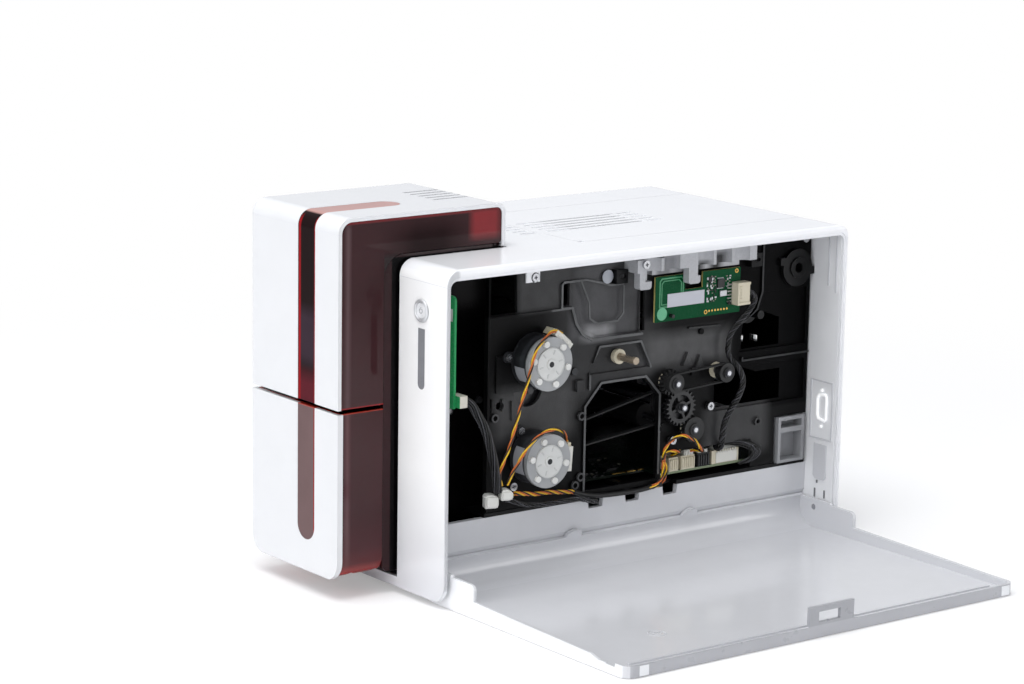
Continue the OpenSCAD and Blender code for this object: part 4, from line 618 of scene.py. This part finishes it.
def twist(name, route, materials, radius, lay, pitch, replaces=(), turn=0.0, flare=None):
    """Strands twisted round a smooth route in mm, one for each material. Lay is how far each strand's
    middle is from the route, pitch the length of one turn; a flare opens the lay out at the far end."""
    path = bpy.data.curves.new(name, "CURVE")
    path.dimensions = "3D"
    spline = path.splines.new("BEZIER")
    spline.bezier_points.add(len(route) - 1)
    for point, place in zip(spline.bezier_points, route):
        point.co = [c * MM for c in place]
        point.handle_left_type = point.handle_right_type = "AUTO"
    spline.resolution_u = 12
    numbers = {"Strand radius": radius * MM, "Lay": lay * MM, "Far lay": (flare or lay) * MM,
               "Pitch": pitch * MM, "Turn": turn}
    tree, inner = node_group(name, numbers)
    even = node(tree, "GeometryNodeResampleCurve", {"Curve": inner["Geometry"], "Length": STRAND_STEP * MM},
                mode="LENGTH")
    along = node(tree, "GeometryNodeSplineParameter").outputs
    tangent = node(tree, "GeometryNodeInputTangent")
    normal = node(tree, "GeometryNodeInputNormal")
    side = node(tree, "ShaderNodeVectorMath", {0: tangent, 1: normal}, operation="CROSS_PRODUCT")
    turns = node(tree, "ShaderNodeMath", {0: along["Length"], 1: inner["Pitch"]}, operation="DIVIDE")
    begun = node(tree, "ShaderNodeMath", {0: turns, 1: inner["Turn"]}, operation="ADD")
    late = node(tree, "ShaderNodeMath", {0: along["Factor"], 1: 2.0}, operation="POWER")
    spread = node(tree, "ShaderNodeMix", {0: late, 2: inner["Lay"], 3: inner["Far lay"]})
    section = node(tree, "GeometryNodeCurvePrimitiveCircle",
                   {"Resolution": 8, "Radius": inner["Strand radius"]})
    joined = node(tree, "GeometryNodeJoinGeometry")
    for i, material in enumerate(materials):
        angle = node(tree, "ShaderNodeMath", {0: begun, 1: i / len(materials)}, operation="ADD")
        angle = node(tree, "ShaderNodeMath", {0: angle, 1: math.tau}, operation="MULTIPLY")
        parts = []
        for turned, direction in (("COSINE", normal), ("SINE", side)):
            share = node(tree, "ShaderNodeMath", {0: angle}, operation=turned)
            reach = node(tree, "ShaderNodeMath", {0: share, 1: spread}, operation="MULTIPLY")
            parts.append(node(tree, "ShaderNodeVectorMath", {0: direction, 3: reach}, operation="SCALE"))
        offset = node(tree, "ShaderNodeVectorMath", {0: parts[0], 1: parts[1]})
        moved = node(tree, "GeometryNodeSetPosition", {"Geometry": even, "Offset": offset})
        tube = node(tree, "GeometryNodeCurveToMesh", {"Curve": moved, "Profile Curve": section,
                                                      "Fill Caps": True})
        dressed = node(tree, "GeometryNodeSetMaterial", {"Geometry": tube, "Material": material})
        tree.links.new(dressed.outputs[0], joined.inputs[0])
    smooth = node(tree, "GeometryNodeSetShadeSmooth", {"Geometry": joined})
    plain = node(tree, "GeometryNodeRealizeInstances", {"Geometry": smooth})
    node(tree, "NodeGroupOutput", {"Geometry": plain})
    settle(name, bpy.data.objects.new(name + "_route", path), tree, numbers, replaces)


def pvc(name, code, tone=0.06, rough=0.36):
    """Soft extruded wire insulation."""
    return finish(name + "_pvc", code, rough, grain_mm=0.4, tone=tone, edge=0.05)


lead_colours = [pvc("orange", "CE6A2C"), pvc("yellow", "EDBE22"), pvc("brown", "33221A", 0.08)]
twist("upper_motor_lead", UPPER_LEAD, lead_colours, 0.52, 0.64, 24, ["motor_leads"])
twist("lower_motor_lead", LOWER_LEAD, lead_colours, 0.52, 0.64, 26, turn=0.3)
twist("trunk_lead_front", TRUNK_LEAD[:7], lead_colours * 2, 0.48, 1.0, 22, turn=0.1)
twist("trunk_lead_rear", TRUNK_LEAD[9:], lead_colours, 0.52, 0.66, 17, turn=0.1)
SECOND_LOOP = [[74.5, 44, 48], [76, 52.5, 53.5], [78, 52.4, 62.4], [78.5, 51.5, 68], [78.5, 54.5, 71.4],
               [78, 61.1, 72.1], [76.5, 67.3, 70.8], [72, 71, 69.5], [64, 71, 65]]
twist("second_loop", SECOND_LOOP, lead_colours, 0.5, 0.62, 16, turn=0.5)
sleeve_black = finish("black_sleeve", "0E0E0F", 0.5, grain_mm=0.6, depth=0.05, tone=0.1, edge=0.05)
twist("trunk_sleeve", TRUNK_LEAD[5:11], [sleeve_black], 1.75, 0.01, 60)

# ---- Black harness ----
# Bundles of thin black PVC wires, from the light board to the clips and from the antenna board down to the
# main board, where they fan out round the end of the long connector. Strands drawn in dark grey are black
# wires with their highlights painted in.

LIGHT_LEAD = [[93, -124, 132], [93, -120, 130], [93, -114, 122], [93, -108, 112], [92, -103, 100],
              [91, -99, 88], [90, -96, 76], [89, -94, 68]]
ANTENNA_LEAD = [[81, 119, 176], [81, 124, 174], [81, 127, 170], [80, 124, 163], [79, 116, 155],
                [78, 109, 147], [78, 107, 140], [78, 108, 132], [84, 112, 124], [86, 114, 116],
                [84, 113, 106], [80, 110, 96], [77, 107, 86], [76, 106, 76], [72.8, 107, 68.2],
                [64, 110, 65.8]]
CLIP_TAIL = [[86, -86, 61.5], [85, -80, 59.5], [84.5, -70, 55.8], [84.2, -53, 53.2], [84, -36, 53],
             [82, -22, 51.8], [79, -12, 48.6], [75.5, -2, 46]]
black_pvc = pvc("black", "0D0D0E", 0.1, 0.34)
highlight_pvc = pvc("highlight_grey", "38383C", 0.1, 0.25)
light_lead_colours = [black_pvc, highlight_pvc, black_pvc, black_pvc, highlight_pvc]
braid = [black_pvc, highlight_pvc, black_pvc, highlight_pvc, black_pvc]
twist("light_board_lead", LIGHT_LEAD, light_lead_colours * 2, 0.5, 2.5, 110, ["wire_harness"])
twist("light_board_lead_core", LIGHT_LEAD, light_lead_colours, 0.5, 1.3, 80)
twist("antenna_lead", ANTENNA_LEAD, braid, 0.62, 1.3, 15, flare=1.9)
for i in range(11):
    sway = math.sin(2.4 * i)
    fan = [[64, 108 + 1.7 * i, 65.2], [66.5, 110 + 1.9 * i, 68.2 + sway],
           [70.5, 119 + 1.5 * i, 68.5 + 1.6 * sway], [73 + sway, 129 + 0.9 * i, 66.4 + 2.2 * sway],
           [73.5, 136 + 0.8 * i + sway, 61.5 + 1.4 * sway], [72, 134 + 0.7 * i, 56.8 + sway],
           [69.8, 126 + 0.9 * i, 53 + 0.6 * sway]]
    twist(f"board_fan_{i}", fan, [highlight_pvc if i % 3 == 1 else black_pvc], 0.5, 0.01, 60)
twist("clip_tail", CLIP_TAIL, braid, 0.45, 1.25, 34, turn=0.4)

# ---- Nylon wire clips ----
# Two white nylon saddles pushed into holes of the front column, each with a snap-on lid and a rounded mouth.
# They hold the leads of both motors and of the light board.

clips = bmesh.new()
for place, size in (((90, -88, 66), (9, 8, 7)), ((86, -97, 62), (8, 9, 9))):
    whole = bmesh.new()
    x, y, z = [s / 2 for s in size]
    plate(whole, [(-y, -z), (y - 1.8, -z), (y, -z + 1.8), (y, z - 2.6), (y - 1.4, z - 1), (0.4, z),
                  (-y + 1.2, z), (-y, z - 1.2)], 0, -x, x - 1.4)
    block(whole, (x - 1.5, -y + 0.8, -z + 0.8), (x, y - 0.9, z - 1.4))
    block(whole, (-x + 1.2, -y - 0.6, z - 2.2), (x - 2.8, -y + 0.4, z - 0.8))
    bmesh.ops.transform(whole, matrix=Matrix.Translation(place) @ Matrix.Rotation(math.radians(-20), 4, "Z"),
                        verts=whole.verts)
    hold = bpy.data.meshes.new("hold")
    whole.to_mesh(hold)
    whole.free()
    clips.from_mesh(hold)
    bpy.data.meshes.remove(hold)
piece("wire_clips", clips, white_nylon, bevel=0.7, replaces=["cable_clips"])

# ---- Motor plugs, caps and labels ----
# Both motors on the door side have a white crimp plug in a cream header at the rim, a turned shaft end in
# the cap, six small ribs round the hub and a blank paper label on the can.

MOTORS = (("upper", *UPPER_MOTOR, 50, 186, 36), ("lower", *LOWER_MOTOR, -4, 148, 60))
CAP_FACE = 91.0


def rod(bm, start, end, radius, sides=32):
    """A round bar from start to end in mm."""
    along = Vector(end) - Vector(start)
    turn = along.to_track_quat("Z", "Y").to_matrix().to_4x4()
    place = Matrix.Translation((Vector(start) + Vector(end)) / 2) @ turn
    bmesh.ops.create_cone(bm, cap_ends=True, segments=sides, radius1=radius, radius2=radius,
                          depth=along.length, matrix=place)


def about_motor(y, z, degrees):
    """A turn about the motor axis through y, z: a block placed by it has X, radial and tangential mm."""
    return Matrix.Translation((0, y, z)) @ Matrix.Rotation(math.radians(degrees), 4, "X")


def band(bm, y, z, inner, outer, x0, x1, start, sweep, count):
    """Part of a sleeve about the X axis line through y, z, from x0 to x1 mm."""
    outside = ring(y, z, outer, count, start, sweep)
    inside = ring(y, z, inner, count, start, sweep)
    plate(bm, outside + inside[::-1], 0, x0, x1)


cap_grey = finish("motor_cap_nylon", "C6C7C6", 0.36, grain_mm=0.6, depth=0.006, tone=0.04, wear=0.06)
plug_white = finish("plug_nylon", "DAD9D2", 0.36, grain_mm=0.4, depth=0.006, tone=0.03, edge=0.2)
label_paper = finish("blank_label_paper", "A9AAB0", 0.5, grain_mm=0.3, tone=0.03, edge=0.1)
# The shaft ends are drawn in a dark steel.
shaft_end_dark = finish("dark_steel_end", "3A3B3D", 0.4, metal=0.8, grain_mm=0.3, edge=0.1)
for name, y, z, plug_turn, label_from, label_sweep in MOTORS:
    plug_place = about_motor(y, z, plug_turn)
    plugs = bmesh.new()
    block(plugs, (83.4, 16.9, -8.2), (88.6, 20.9, 8.2), plug_place)
    block(plugs, (82.6, 20.6, -7.0), (87.0, 21.9, 7.0), plug_place)
    for step in (-5, 0, 5):
        block(plugs, (88.4, 18.2, step - 1.4), (88.8, 19.8, step + 1.4), plug_place)
    piece(f"{name}_motor_plug", plugs, plug_white, bevel=0.3)
    header = bmesh.new()
    block(header, (74.7, 16.9, -7.4), (83.4, 21.9, 7.4), plug_place)
    block(header, (83.2, 17.2, 7.9), (87.2, 20.0, 10.6), plug_place)
    piece(f"{name}_motor_header", header, cream, bevel=0.35)
    hub = bmesh.new()
    for k in range(6):
        block(hub, (CAP_FACE - 0.1, 6.4, -0.45), (CAP_FACE + 0.35, 9.4, 0.45), about_motor(y, z, 60 * k + 12))
    band(hub, y, z, 10.3, 11.0, CAP_FACE - 0.1, CAP_FACE + 0.25, 0, 360, 49)
    piece(f"{name}_motor_ribs", hub, cap_grey, bevel=0.12)
    shaft = bmesh.new()
    rod(shaft, (CAP_FACE, y, z), (CAP_FACE + 0.95, y, z), 1.9)
    rod(shaft, (CAP_FACE + 0.5, y, z), (CAP_FACE + 1.2, y, z), 0.9)
    piece(f"{name}_motor_shaft_end", shaft, shaft_end_dark, bevel=0.15)
    sticker = bmesh.new()
    band(sticker, y, z, 17.45, 17.62, 75.5, 85.5, label_from, label_sweep, 17)
    piece(f"{name}_motor_label", sticker, label_paper)

# ---- Antenna board parts ----
# Surface-mount parts soldered to the board's face, a printed coil under the solder mask, a blank paper
# label, a row of header pins and the nylon shell into which the antenna lead is plugged.

ANTENNA_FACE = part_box("antenna_board")[1].x / MM


def on_board(bm, y0, z0, y1, z1, high, low=0.0):
    """A box on the antenna board, from low to high mm off its face."""
    block(bm, (ANTENNA_FACE + low, y0, z0), (ANTENNA_FACE + high, y1, z1))


def film(bm, outline, high, holes=(), low=0.0):
    """A thin layer on the antenna board, from low to high mm off its face."""
    plate(bm, outline, 0, ANTENNA_FACE + low, ANTENNA_FACE + high, holes)


track_green = finish("masked_copper_track", "3F8F62", 0.26, edge=0.05)
track = bmesh.new()
for inset, width in ((0.0, 1.0), (1.8, 0.7)):
    y0, y1, z0, z1 = 45.3 + inset, 66.3 - inset, 170.9 + inset, 191.0 - inset
    film(track, [(y0, z0), (y1, z0), (y1, z1 - 2), (y1 - 2, z1), (y0 + 2, z1), (y0, z1 - 2)], 0.06,
         [[(y0 + width, z0 + width), (y1 - width, z0 + width), (y1 - width, z1 - 2.4),
           (y1 - 2.4, z1 - width), (y0 + 2.4, z1 - width), (y0 + width, z1 - 2.4)]])
piece("antenna_coil_track", track, track_green)
pad_green = finish("masked_copper_pad", "5FB287", 0.3, tone=0.04, edge=0.05)
pad = bmesh.new()
film(pad, ring(48, 166.9, 4.3, 40), 0.09)
piece("antenna_round_pad", pad, pad_green)

gold = finish("plated_gold", "CDA85A", 0.28, metal=1.0, grain_mm=0.2, depth=0.002, tone=0.04, edge=0.05)
tinned = finish("tinned_terminals", "B9BBBE", 0.3, metal=0.9, grain_mm=0.2, edge=0.05)
chip_black = finish("chip_epoxy", "17181A", 0.45, grain_mm=0.2, depth=0.006, tone=0.08, edge=0.08)
ceramic = finish("chip_ceramic", "8F8B80", 0.45, grain_mm=0.2, tone=0.06, edge=0.05)
pads = bmesh.new()
for y, z in ((112.6, 190.0), (86.0, 164.4)):
    film(pads, ring(y, z, 1.5, 28), 0.08, [ring(y, z, 0.9, 28)])
for k in range(7):
    film(pads, ring(89 + 2.6 * k, 164.9, 0.75, 14), 0.08)
piece("antenna_pads", pads, gold)
blank = bmesh.new()
film(blank, [(52.3, 170.9), (84.3, 170.9), (84.3, 179.9), (52.3, 179.9)], 0.2, low=0.08)
paper_label = finish("blank_board_label", "C3C5CE", 0.42, grain_mm=0.4, tone=0.02, edge=0.05)
piece("antenna_blank_label", blank, paper_label)

chips = bmesh.new()
on_board(chips, 95.3, 179.9, 101.3, 185.9, 1.1)
on_board(chips, 87.6, 184.6, 90.2, 188.2, 0.9)
for y, z, high, radius in ((55.2, 165.2, 3.4, 1.3), (105.8, 168.8, 1.6, 1.2)):
    rod(chips, (ANTENNA_FACE, y, z), (ANTENNA_FACE + high, y, z), radius)
piece("antenna_chips", chips, chip_black, bevel=0.15)
crystal = bmesh.new()
on_board(crystal, 97.3, 173.9, 103.3, 177.9, 1.4)
piece("antenna_crystal", crystal, tinned, bevel=0.3)
pins = bmesh.new()
for k in range(6):
    on_board(pins, 104.3, 169.2 + 2.3 * k, 108.8, 170.1 + 2.3 * k, 0.9)
for k in range(6):
    on_board(pins, 95.5 + 0.95 * k, 179.1, 95.9 + 0.95 * k, 186.7, 0.3)
piece("antenna_pins", pins, tinned)

# Header shell of the antenna lead: an open box with a slot over each pin.
shell = bmesh.new()
on_board(shell, 108.4, 167.4, 119.6, 182.8, 6.2, 0.2)
for y0, z0, y1, z1 in ((108.4, 167.4, 119.6, 169.2), (108.4, 181, 119.6, 182.8), (108.4, 169.1, 110, 181.1)):
    on_board(shell, y0, z0, y1, z1, 7, 5.8)
for k in range(6):
    on_board(shell, 109.9, 169.6 + 2.0 * k, 112.2, 170.3 + 2.0 * k, 6.7, 5.8)
piece("antenna_header_shell", shell, cream, bevel=0.25)


def scatter(name, corner, size, axis_up, materials, seed, density, part, lift):
    """Small chip parts strewn at random, square to each other, over one face of a board. The density
    is in parts per square metre, and lift is how far a part's middle stands off the face."""
    base = bmesh.new()
    u, v = ((0, size[0], 0), (0, 0, size[1])) if axis_up == "X" else ((size[0], 0, 0), (0, size[1], 0))
    places = [Vector(corner), Vector(corner) + Vector(u), Vector(corner) + Vector(u) + Vector(v),
              Vector(corner) + Vector(v)]
    base.faces.new([base.verts.new(p * MM) for p in places])
    mesh = bpy.data.meshes.new(name)
    base.to_mesh(mesh)
    base.free()
    numbers = {"Parts per square metre": float(density), "Least gap": 1.35 * part[0] * MM}
    tree, inner = node_group(name, numbers)
    strewn = node(tree, "GeometryNodeDistributePointsOnFaces",
                  {"Mesh": inner["Geometry"], "Density Max": inner["Parts per square metre"],
                   "Distance Min": inner["Least gap"], "Seed": seed}, distribute_method="POISSON")
    kind = node(tree, "FunctionNodeRandomValue", {"Min": 0, "Max": len(materials) - 1, "Seed": seed + 5},
                data_type="INT").outputs[2]
    quarter = node(tree, "FunctionNodeRandomValue", {"Min": 0, "Max": 1, "Seed": seed + 9},
                   data_type="INT").outputs[2]
    turn = node(tree, "ShaderNodeMath", {0: quarter, 1: math.pi / 2}, operation="MULTIPLY")
    spin = node(tree, "ShaderNodeCombineXYZ", {axis_up: turn})
    joined = node(tree, "GeometryNodeJoinGeometry")
    for i, material in enumerate(materials):
        chosen = node(tree, "FunctionNodeCompare", {2: kind, 3: i}, data_type="INT", operation="EQUAL")
        large = 1.0 + 0.35 * i
        shape = [part[0] * large * MM, part[1] * large * MM, part[2] * MM]
        if axis_up == "X":
            shape = shape[2:] + shape[:2]
        cube = node(tree, "GeometryNodeMeshCube", {"Size": shape})
        dressed = node(tree, "GeometryNodeSetMaterial", {"Geometry": cube, "Material": material})
        put = node(tree, "GeometryNodeInstanceOnPoints",
                   {"Points": strewn, "Selection": chosen, "Instance": dressed, "Rotation": spin})
        tree.links.new(put.outputs[0], joined.inputs[0])
    raised = [lift * MM, 0, 0] if axis_up == "X" else [0, 0, lift * MM]
    plain = node(tree, "GeometryNodeRealizeInstances", {"Geometry": joined})
    moved = node(tree, "GeometryNodeSetPosition", {"Geometry": plain, "Offset": raised})
    node(tree, "NodeGroupOutput", {"Geometry": moved})
    settle(name, bpy.data.objects.new(name + "_field", mesh), tree, numbers)


scatter("antenna_small_parts", (ANTENNA_FACE, 86.5, 171.2), (8.0, 17.0), "X",
        [ceramic, chip_black, tinned], 7, 900000, (1.0, 0.6, 0.5), 0.25)
scatter("antenna_small_parts_right", (ANTENNA_FACE, 102.2, 179.0), (4.6, 8.6), "X",
        [ceramic, tinned], 11, 700000, (1.0, 0.6, 0.5), 0.25)

# ---- Main board parts ----
# Cream, black and white nylon wire housings plugged in along the board's edge, and epoxy chips and
# gold-plated strips soldered down in the dark bay.

BOARD_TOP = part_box("main_board")[1].z / MM
EDGE_TOP = 64.4
headers = bmesh.new()
for y0, y1, count in ((66, 74, 4), (76.5, 88.5, 6)):
    block(headers, (67.7, y0, BOARD_TOP), (68.4, y1, EDGE_TOP - 1.6))
    for k in range(count):
        y = y0 + 2.0 * k
        block(headers, (68.2, y + 0.5, BOARD_TOP + 1.2), (69.0, y + 1.4, EDGE_TOP - 1.2))
piece("cream_header_ribs", headers, cream, bevel=0.12)
plugs = bmesh.new()
block(plugs, (60.4, 80.0, EDGE_TOP - 3), (67.2, 88.0, EDGE_TOP + 4.2))
block(plugs, (60.4, 92.6, EDGE_TOP - 3), (67.2, 100.6, EDGE_TOP + 2.2))
for k in range(3):
    block(plugs, (66.9, 80.8 + 2.5 * k, EDGE_TOP - 0.4), (67.7, 82.2 + 2.5 * k, EDGE_TOP + 3.6))
    block(plugs, (66.9, 93.4 + 2.5 * k, EDGE_TOP - 0.4), (67.7, 94.8 + 2.5 * k, EDGE_TOP + 1.8))
piece("white_wire_plugs", plugs, plug_white, bevel=0.25)
long_plug = bmesh.new()
rod(long_plug, (63.4, 107.5, EDGE_TOP - 1.6), (63.4, 126.6, EDGE_TOP - 1.6), 4.2)
block(long_plug, (63.0, 107.5, BOARD_TOP + 0.4), (68.4, 126.2, EDGE_TOP - 1.2))
for k in range(8):
    block(long_plug, (67.9, 108.6 + 2.2 * k, EDGE_TOP - 2.4), (68.7, 109.6 + 2.2 * k, EDGE_TOP + 0.6))
piece("long_white_plug", long_plug, plug_white, bevel=0.6)
black_header = bmesh.new()
for k in range(5):
    block(black_header, (67.7, 91.4 + 2.1 * k, BOARD_TOP + 0.6), (68.8, 92.6 + 2.1 * k, EDGE_TOP - 1.4))
piece("black_header_ribs", black_header, chip_black, bevel=0.12)

strips = bmesh.new()
for y0, y1 in ((29.8, 40.6), (42.0, 49.2), (51.6, 56.8)):
    block(strips, (50.6, y0, BOARD_TOP), (53.3, y1, BOARD_TOP + 0.5))
for y0, y1 in ((139.7, 143.7), (144.9, 147.8)):
    block(strips, (64.2, y0, BOARD_TOP), (68, y1, BOARD_TOP + 0.3))
piece("gold_edge_strips", strips, gold, bevel=0.1)
board_chips = bmesh.new()
for x, y, wide, deep, high in ((12, 7, 16, 14, 2.2), (32, 32, 12, 8, 1.6), (4, 38, 12, 12, 2),
                               (-28, 3, 20, 14, 2.4), (38, 2, 8, 12, 1.8), (-19, 51, 18, 18, 2.2)):
    block(board_chips, (x, y, BOARD_TOP), (x + wide, y + deep, BOARD_TOP + high))
piece("main_board_chips", board_chips, chip_black, bevel=0.15)
scatter("main_board_small_parts", (-30, -12, BOARD_TOP), (82, 66), "Z",
        [chip_black, ceramic, chip_black, chip_black], 3, 38000, (1.5, 0.9, 0.6), 0.3)

# ---- Bosses and ribs of the black plate ----
# Four screw bosses without screws, moulded on the plate, each with a rim painted paler as a highlight and a
# hole drawn as a black disc of painted shade, and two triangular ribs of the same nylon beside the roller
# belt.

PLATE_FACE = 73.0
bosses, holes = bmesh.new(), bmesh.new()
for y, z in ((-85, 112), (-14, 104.5), (-14, 63.5), (-18.5, 58.5)):
    plate(bosses, ring(y, z, 2.9, 28), 0, PLATE_FACE + 0.1, PLATE_FACE + 0.5, [ring(y, z, 1.7, 28)])
    rod(holes, (PLATE_FACE, y, z), (PLATE_FACE + 0.24, y, z), 1.7, sides=28)
rim_highlight = finish("boss_rim_highlight", "4A4A4C", 0.4, depth=0.006, tone=0.15, specular=0.3)
piece("empty_boss_rims", bosses, rim_highlight, bevel=0.12)
piece("boss_hole_shade", holes, finish("hole_shade_black", "020202", 0.7, specular=0.05))
fins = bmesh.new()
for y, z, wide, high in ((71.6, 128.2, 8.3, 9.2), (82.4, 124.0, 8.3, 10.4)):
    plate(fins, [(y, z), (y + wide, z), (y + 0.5 * wide, z + high)], 0, PLATE_FACE - 2.1, PLATE_FACE + 0.4)
piece("plate_fins", fins, web_black, bevel=0.3)

# ---- White screw tab ----
# The front end of the roof's white ABS rail: a square tab with a round cut for the screw. Further back a
# grey moulded cap is pressed over a stud.

tab = bmesh.new()
plate(tab, [(-61, 197.6), (-50, 197.6), (-50, 205.6), (-61, 205.6)], 0, 71.05, 72.2,
      [ring(-53.6, 200.6, 3.3, 28)])
piece("white_screw_tab", tab, white, bevel=0.3)
cap = bmesh.new()
rod(cap, (72.5, 5.6, 195.5), (73.0, 5.6, 195.5), 4.6)
piece("round_stud_cap", cap, finish("stud_cap", "A2A6AE", 0.4, depth=0.003, tone=0.04),
      bevel=0.25)

# ---- Rear wall mouldings ----
# Shallow ribs, a slab, slots and the outline of a D-shaped knock-out, all moulded in the rear wall. The
# outline is a thin skin of white ABS; the room light that comes through it is painted as a glow.

WALL = 186.95
wall_ribs = bmesh.new()
for x, low in ((88.5, 174), (96, 170)):
    block(wall_ribs, (x - 0.5, WALL - 0.45, low), (x + 0.5, WALL + 0.4, 215))
plate(wall_ribs, [(79.8, 39), (81.8, 37), (90.7, 37), (92.7, 39), (92.7, 62), (79.8, 62)], 1,
      WALL - 0.4, WALL + 0.4)
plate(wall_ribs, [(74.7, 65.3), (97, 65.3), (97, 107), (74.7, 107)], 1, WALL - 0.35, WALL + 0.4,
      [[(75.7, 66.3), (96, 66.3), (96, 106), (75.7, 106)]])
piece("rear_wall_ribs", wall_ribs, satin, bevel=0.25)
D_OUTER = [(81.4, 82.4), (83, 79.2), (90, 78.3), (91.6, 80), (91.6, 96.5), (90, 98.2), (83, 97.3),
           (81.4, 94.1)]
D_INNER = [(82.7, 82.9), (83.8, 80.5), (89.5, 79.7), (90.4, 80.7), (90.4, 95.8), (89.5, 96.8), (83.8, 96),
           (82.7, 93.6)]
outline = bmesh.new()
plate(outline, D_OUTER, 1, WALL - 0.8, WALL + 0.4, [D_INNER])
for z in (100.1, 74.6):
    plate(outline, ring(86.2, z, 1.1, 16), 1, WALL - 0.8, WALL + 0.4)
glowing_white = finish("glowing_moulding", "F4F5F7", 0.35, grain_mm=0.6, depth=0.002, tone=0.01)
painted_glow = glowing_white.node_tree.nodes["Principled BSDF"]
painted_glow.inputs["Emission Color"].default_value = (1, 1, 1, 1)
painted_glow.inputs["Emission Strength"].default_value = 0.4
piece("rear_wall_d_outline", outline, glowing_white, bevel=0.15)
slots = bmesh.new()
for x, low, high in ((82, 23.8, 30), (91.7, 24.4, 30), (83.8, 34, 36)):
    block(slots, (x - 0.6, WALL - 0.1, low), (x + 0.6, WALL + 0.4, high))
slot_grey = finish("slot_shadow_grey", "77787C", 0.6)
piece("rear_wall_slots", slots, slot_grey)

# ---- Studio ----
# A white paper sweep under one large softbox above the front, with a weaker one before the machine, one low
# at its right rear, and a dim surround that is a little brighter from the front left.

world = bpy.data.worlds.new("studio")
scene.world = world
world.use_nodes = True
sky = world.node_tree
sky.nodes.clear()
seen = node(sky, "ShaderNodeLightPath")
direct = node(sky, "ShaderNodeMath", {0: seen.outputs["Is Camera Ray"],
                                      1: seen.outputs["Is Transmission Ray"]}, operation="MAXIMUM")
view_way = node(sky, "ShaderNodeTexCoord").outputs["Generated"]
slope = node(sky, "ShaderNodeVectorMath", {0: view_way, 1: (-0.24, -0.16, 0.0)}, operation="DOT_PRODUCT")
strength = node(sky, "ShaderNodeMath", {0: slope.outputs["Value"], 1: 0.62}, operation="ADD")
surround = node(sky, "ShaderNodeBackground", {"Color": lin("F4F6FA"), "Strength": strength})
white_out = node(sky, "ShaderNodeBackground", {"Color": (1, 1, 1, 1), "Strength": 1.0})
mixed = node(sky, "ShaderNodeMixShader", {0: direct, 1: surround, 2: white_out})
node(sky, "ShaderNodeOutputWorld", {"Surface": mixed})


def softbox(name, place, aim, size, level):
    """A square area lamp that lights a surface facing it, at its aim, to level times its colour."""
    lamp = bpy.data.lights.new(name, "AREA")
    lamp.size = size
    reach = (Vector(aim) - Vector(place)).length
    lamp.energy = level * math.pi ** 2 * reach ** 2
    made = bpy.data.objects.new(name, lamp)
    scene.collection.objects.link(made)
    made.location = place
    made.rotation_euler = (Vector(aim) - Vector(place)).to_track_quat("-Z", "Y").to_euler()
    return made


key = softbox("top_box", (0.35, -1.0, 3.1), (0.05, 0.0, 0.1), 1.9, 0.66)
fill = softbox("front_box", (0.9, -2.5, 0.9), (0.05, 0.0, 0.12), 1.3, 0.16)
sheen = softbox("right_rear_box", (2.0, 1.45, 0.42), (0.07, 0.0, 0.15), 0.9, 0.13)

floor_mesh = bpy.data.meshes.new("floor")
floor_mesh.from_pydata([(-6, -6, 0), (6, -6, 0), (6, 6, 0), (-6, 6, 0)], [], [(0, 1, 2, 3)])
floor = bpy.data.objects.new("floor", floor_mesh)
scene.collection.objects.link(floor)
paper = bpy.data.materials.new("white_paper")
paper.use_nodes = True
tree = paper.node_tree
tree.nodes.clear()
paper_skin = node(tree, "ShaderNodeBsdfDiffuse", {"Color": lin("FAFAFB")})
place = node(tree, "ShaderNodeTexCoord").outputs["Object"]
far = node(tree, "ShaderNodeVectorMath", {0: place}, operation="LENGTH")
faded = node(tree, "ShaderNodeMapRange", {"Value": far.outputs["Value"], "From Min": 0.35, "From Max": 0.95,
                                          "To Min": 0.3}, interpolation_type="SMOOTHSTEP")
seen = node(tree, "ShaderNodeLightPath").outputs["Is Camera Ray"]
backdrop = node(tree, "ShaderNodeMath", {0: faded, 1: seen}, operation="MULTIPLY")
glow = node(tree, "ShaderNodeEmission", {"Color": (1, 1, 1, 1), "Strength": 1.0})
lit = node(tree, "ShaderNodeMixShader", {0: backdrop, 1: paper_skin, 2: glow})
node(tree, "ShaderNodeOutputMaterial", {"Surface": lit})
floor_mesh.materials.append(paper)
scene.view_settings.view_transform = "Standard"
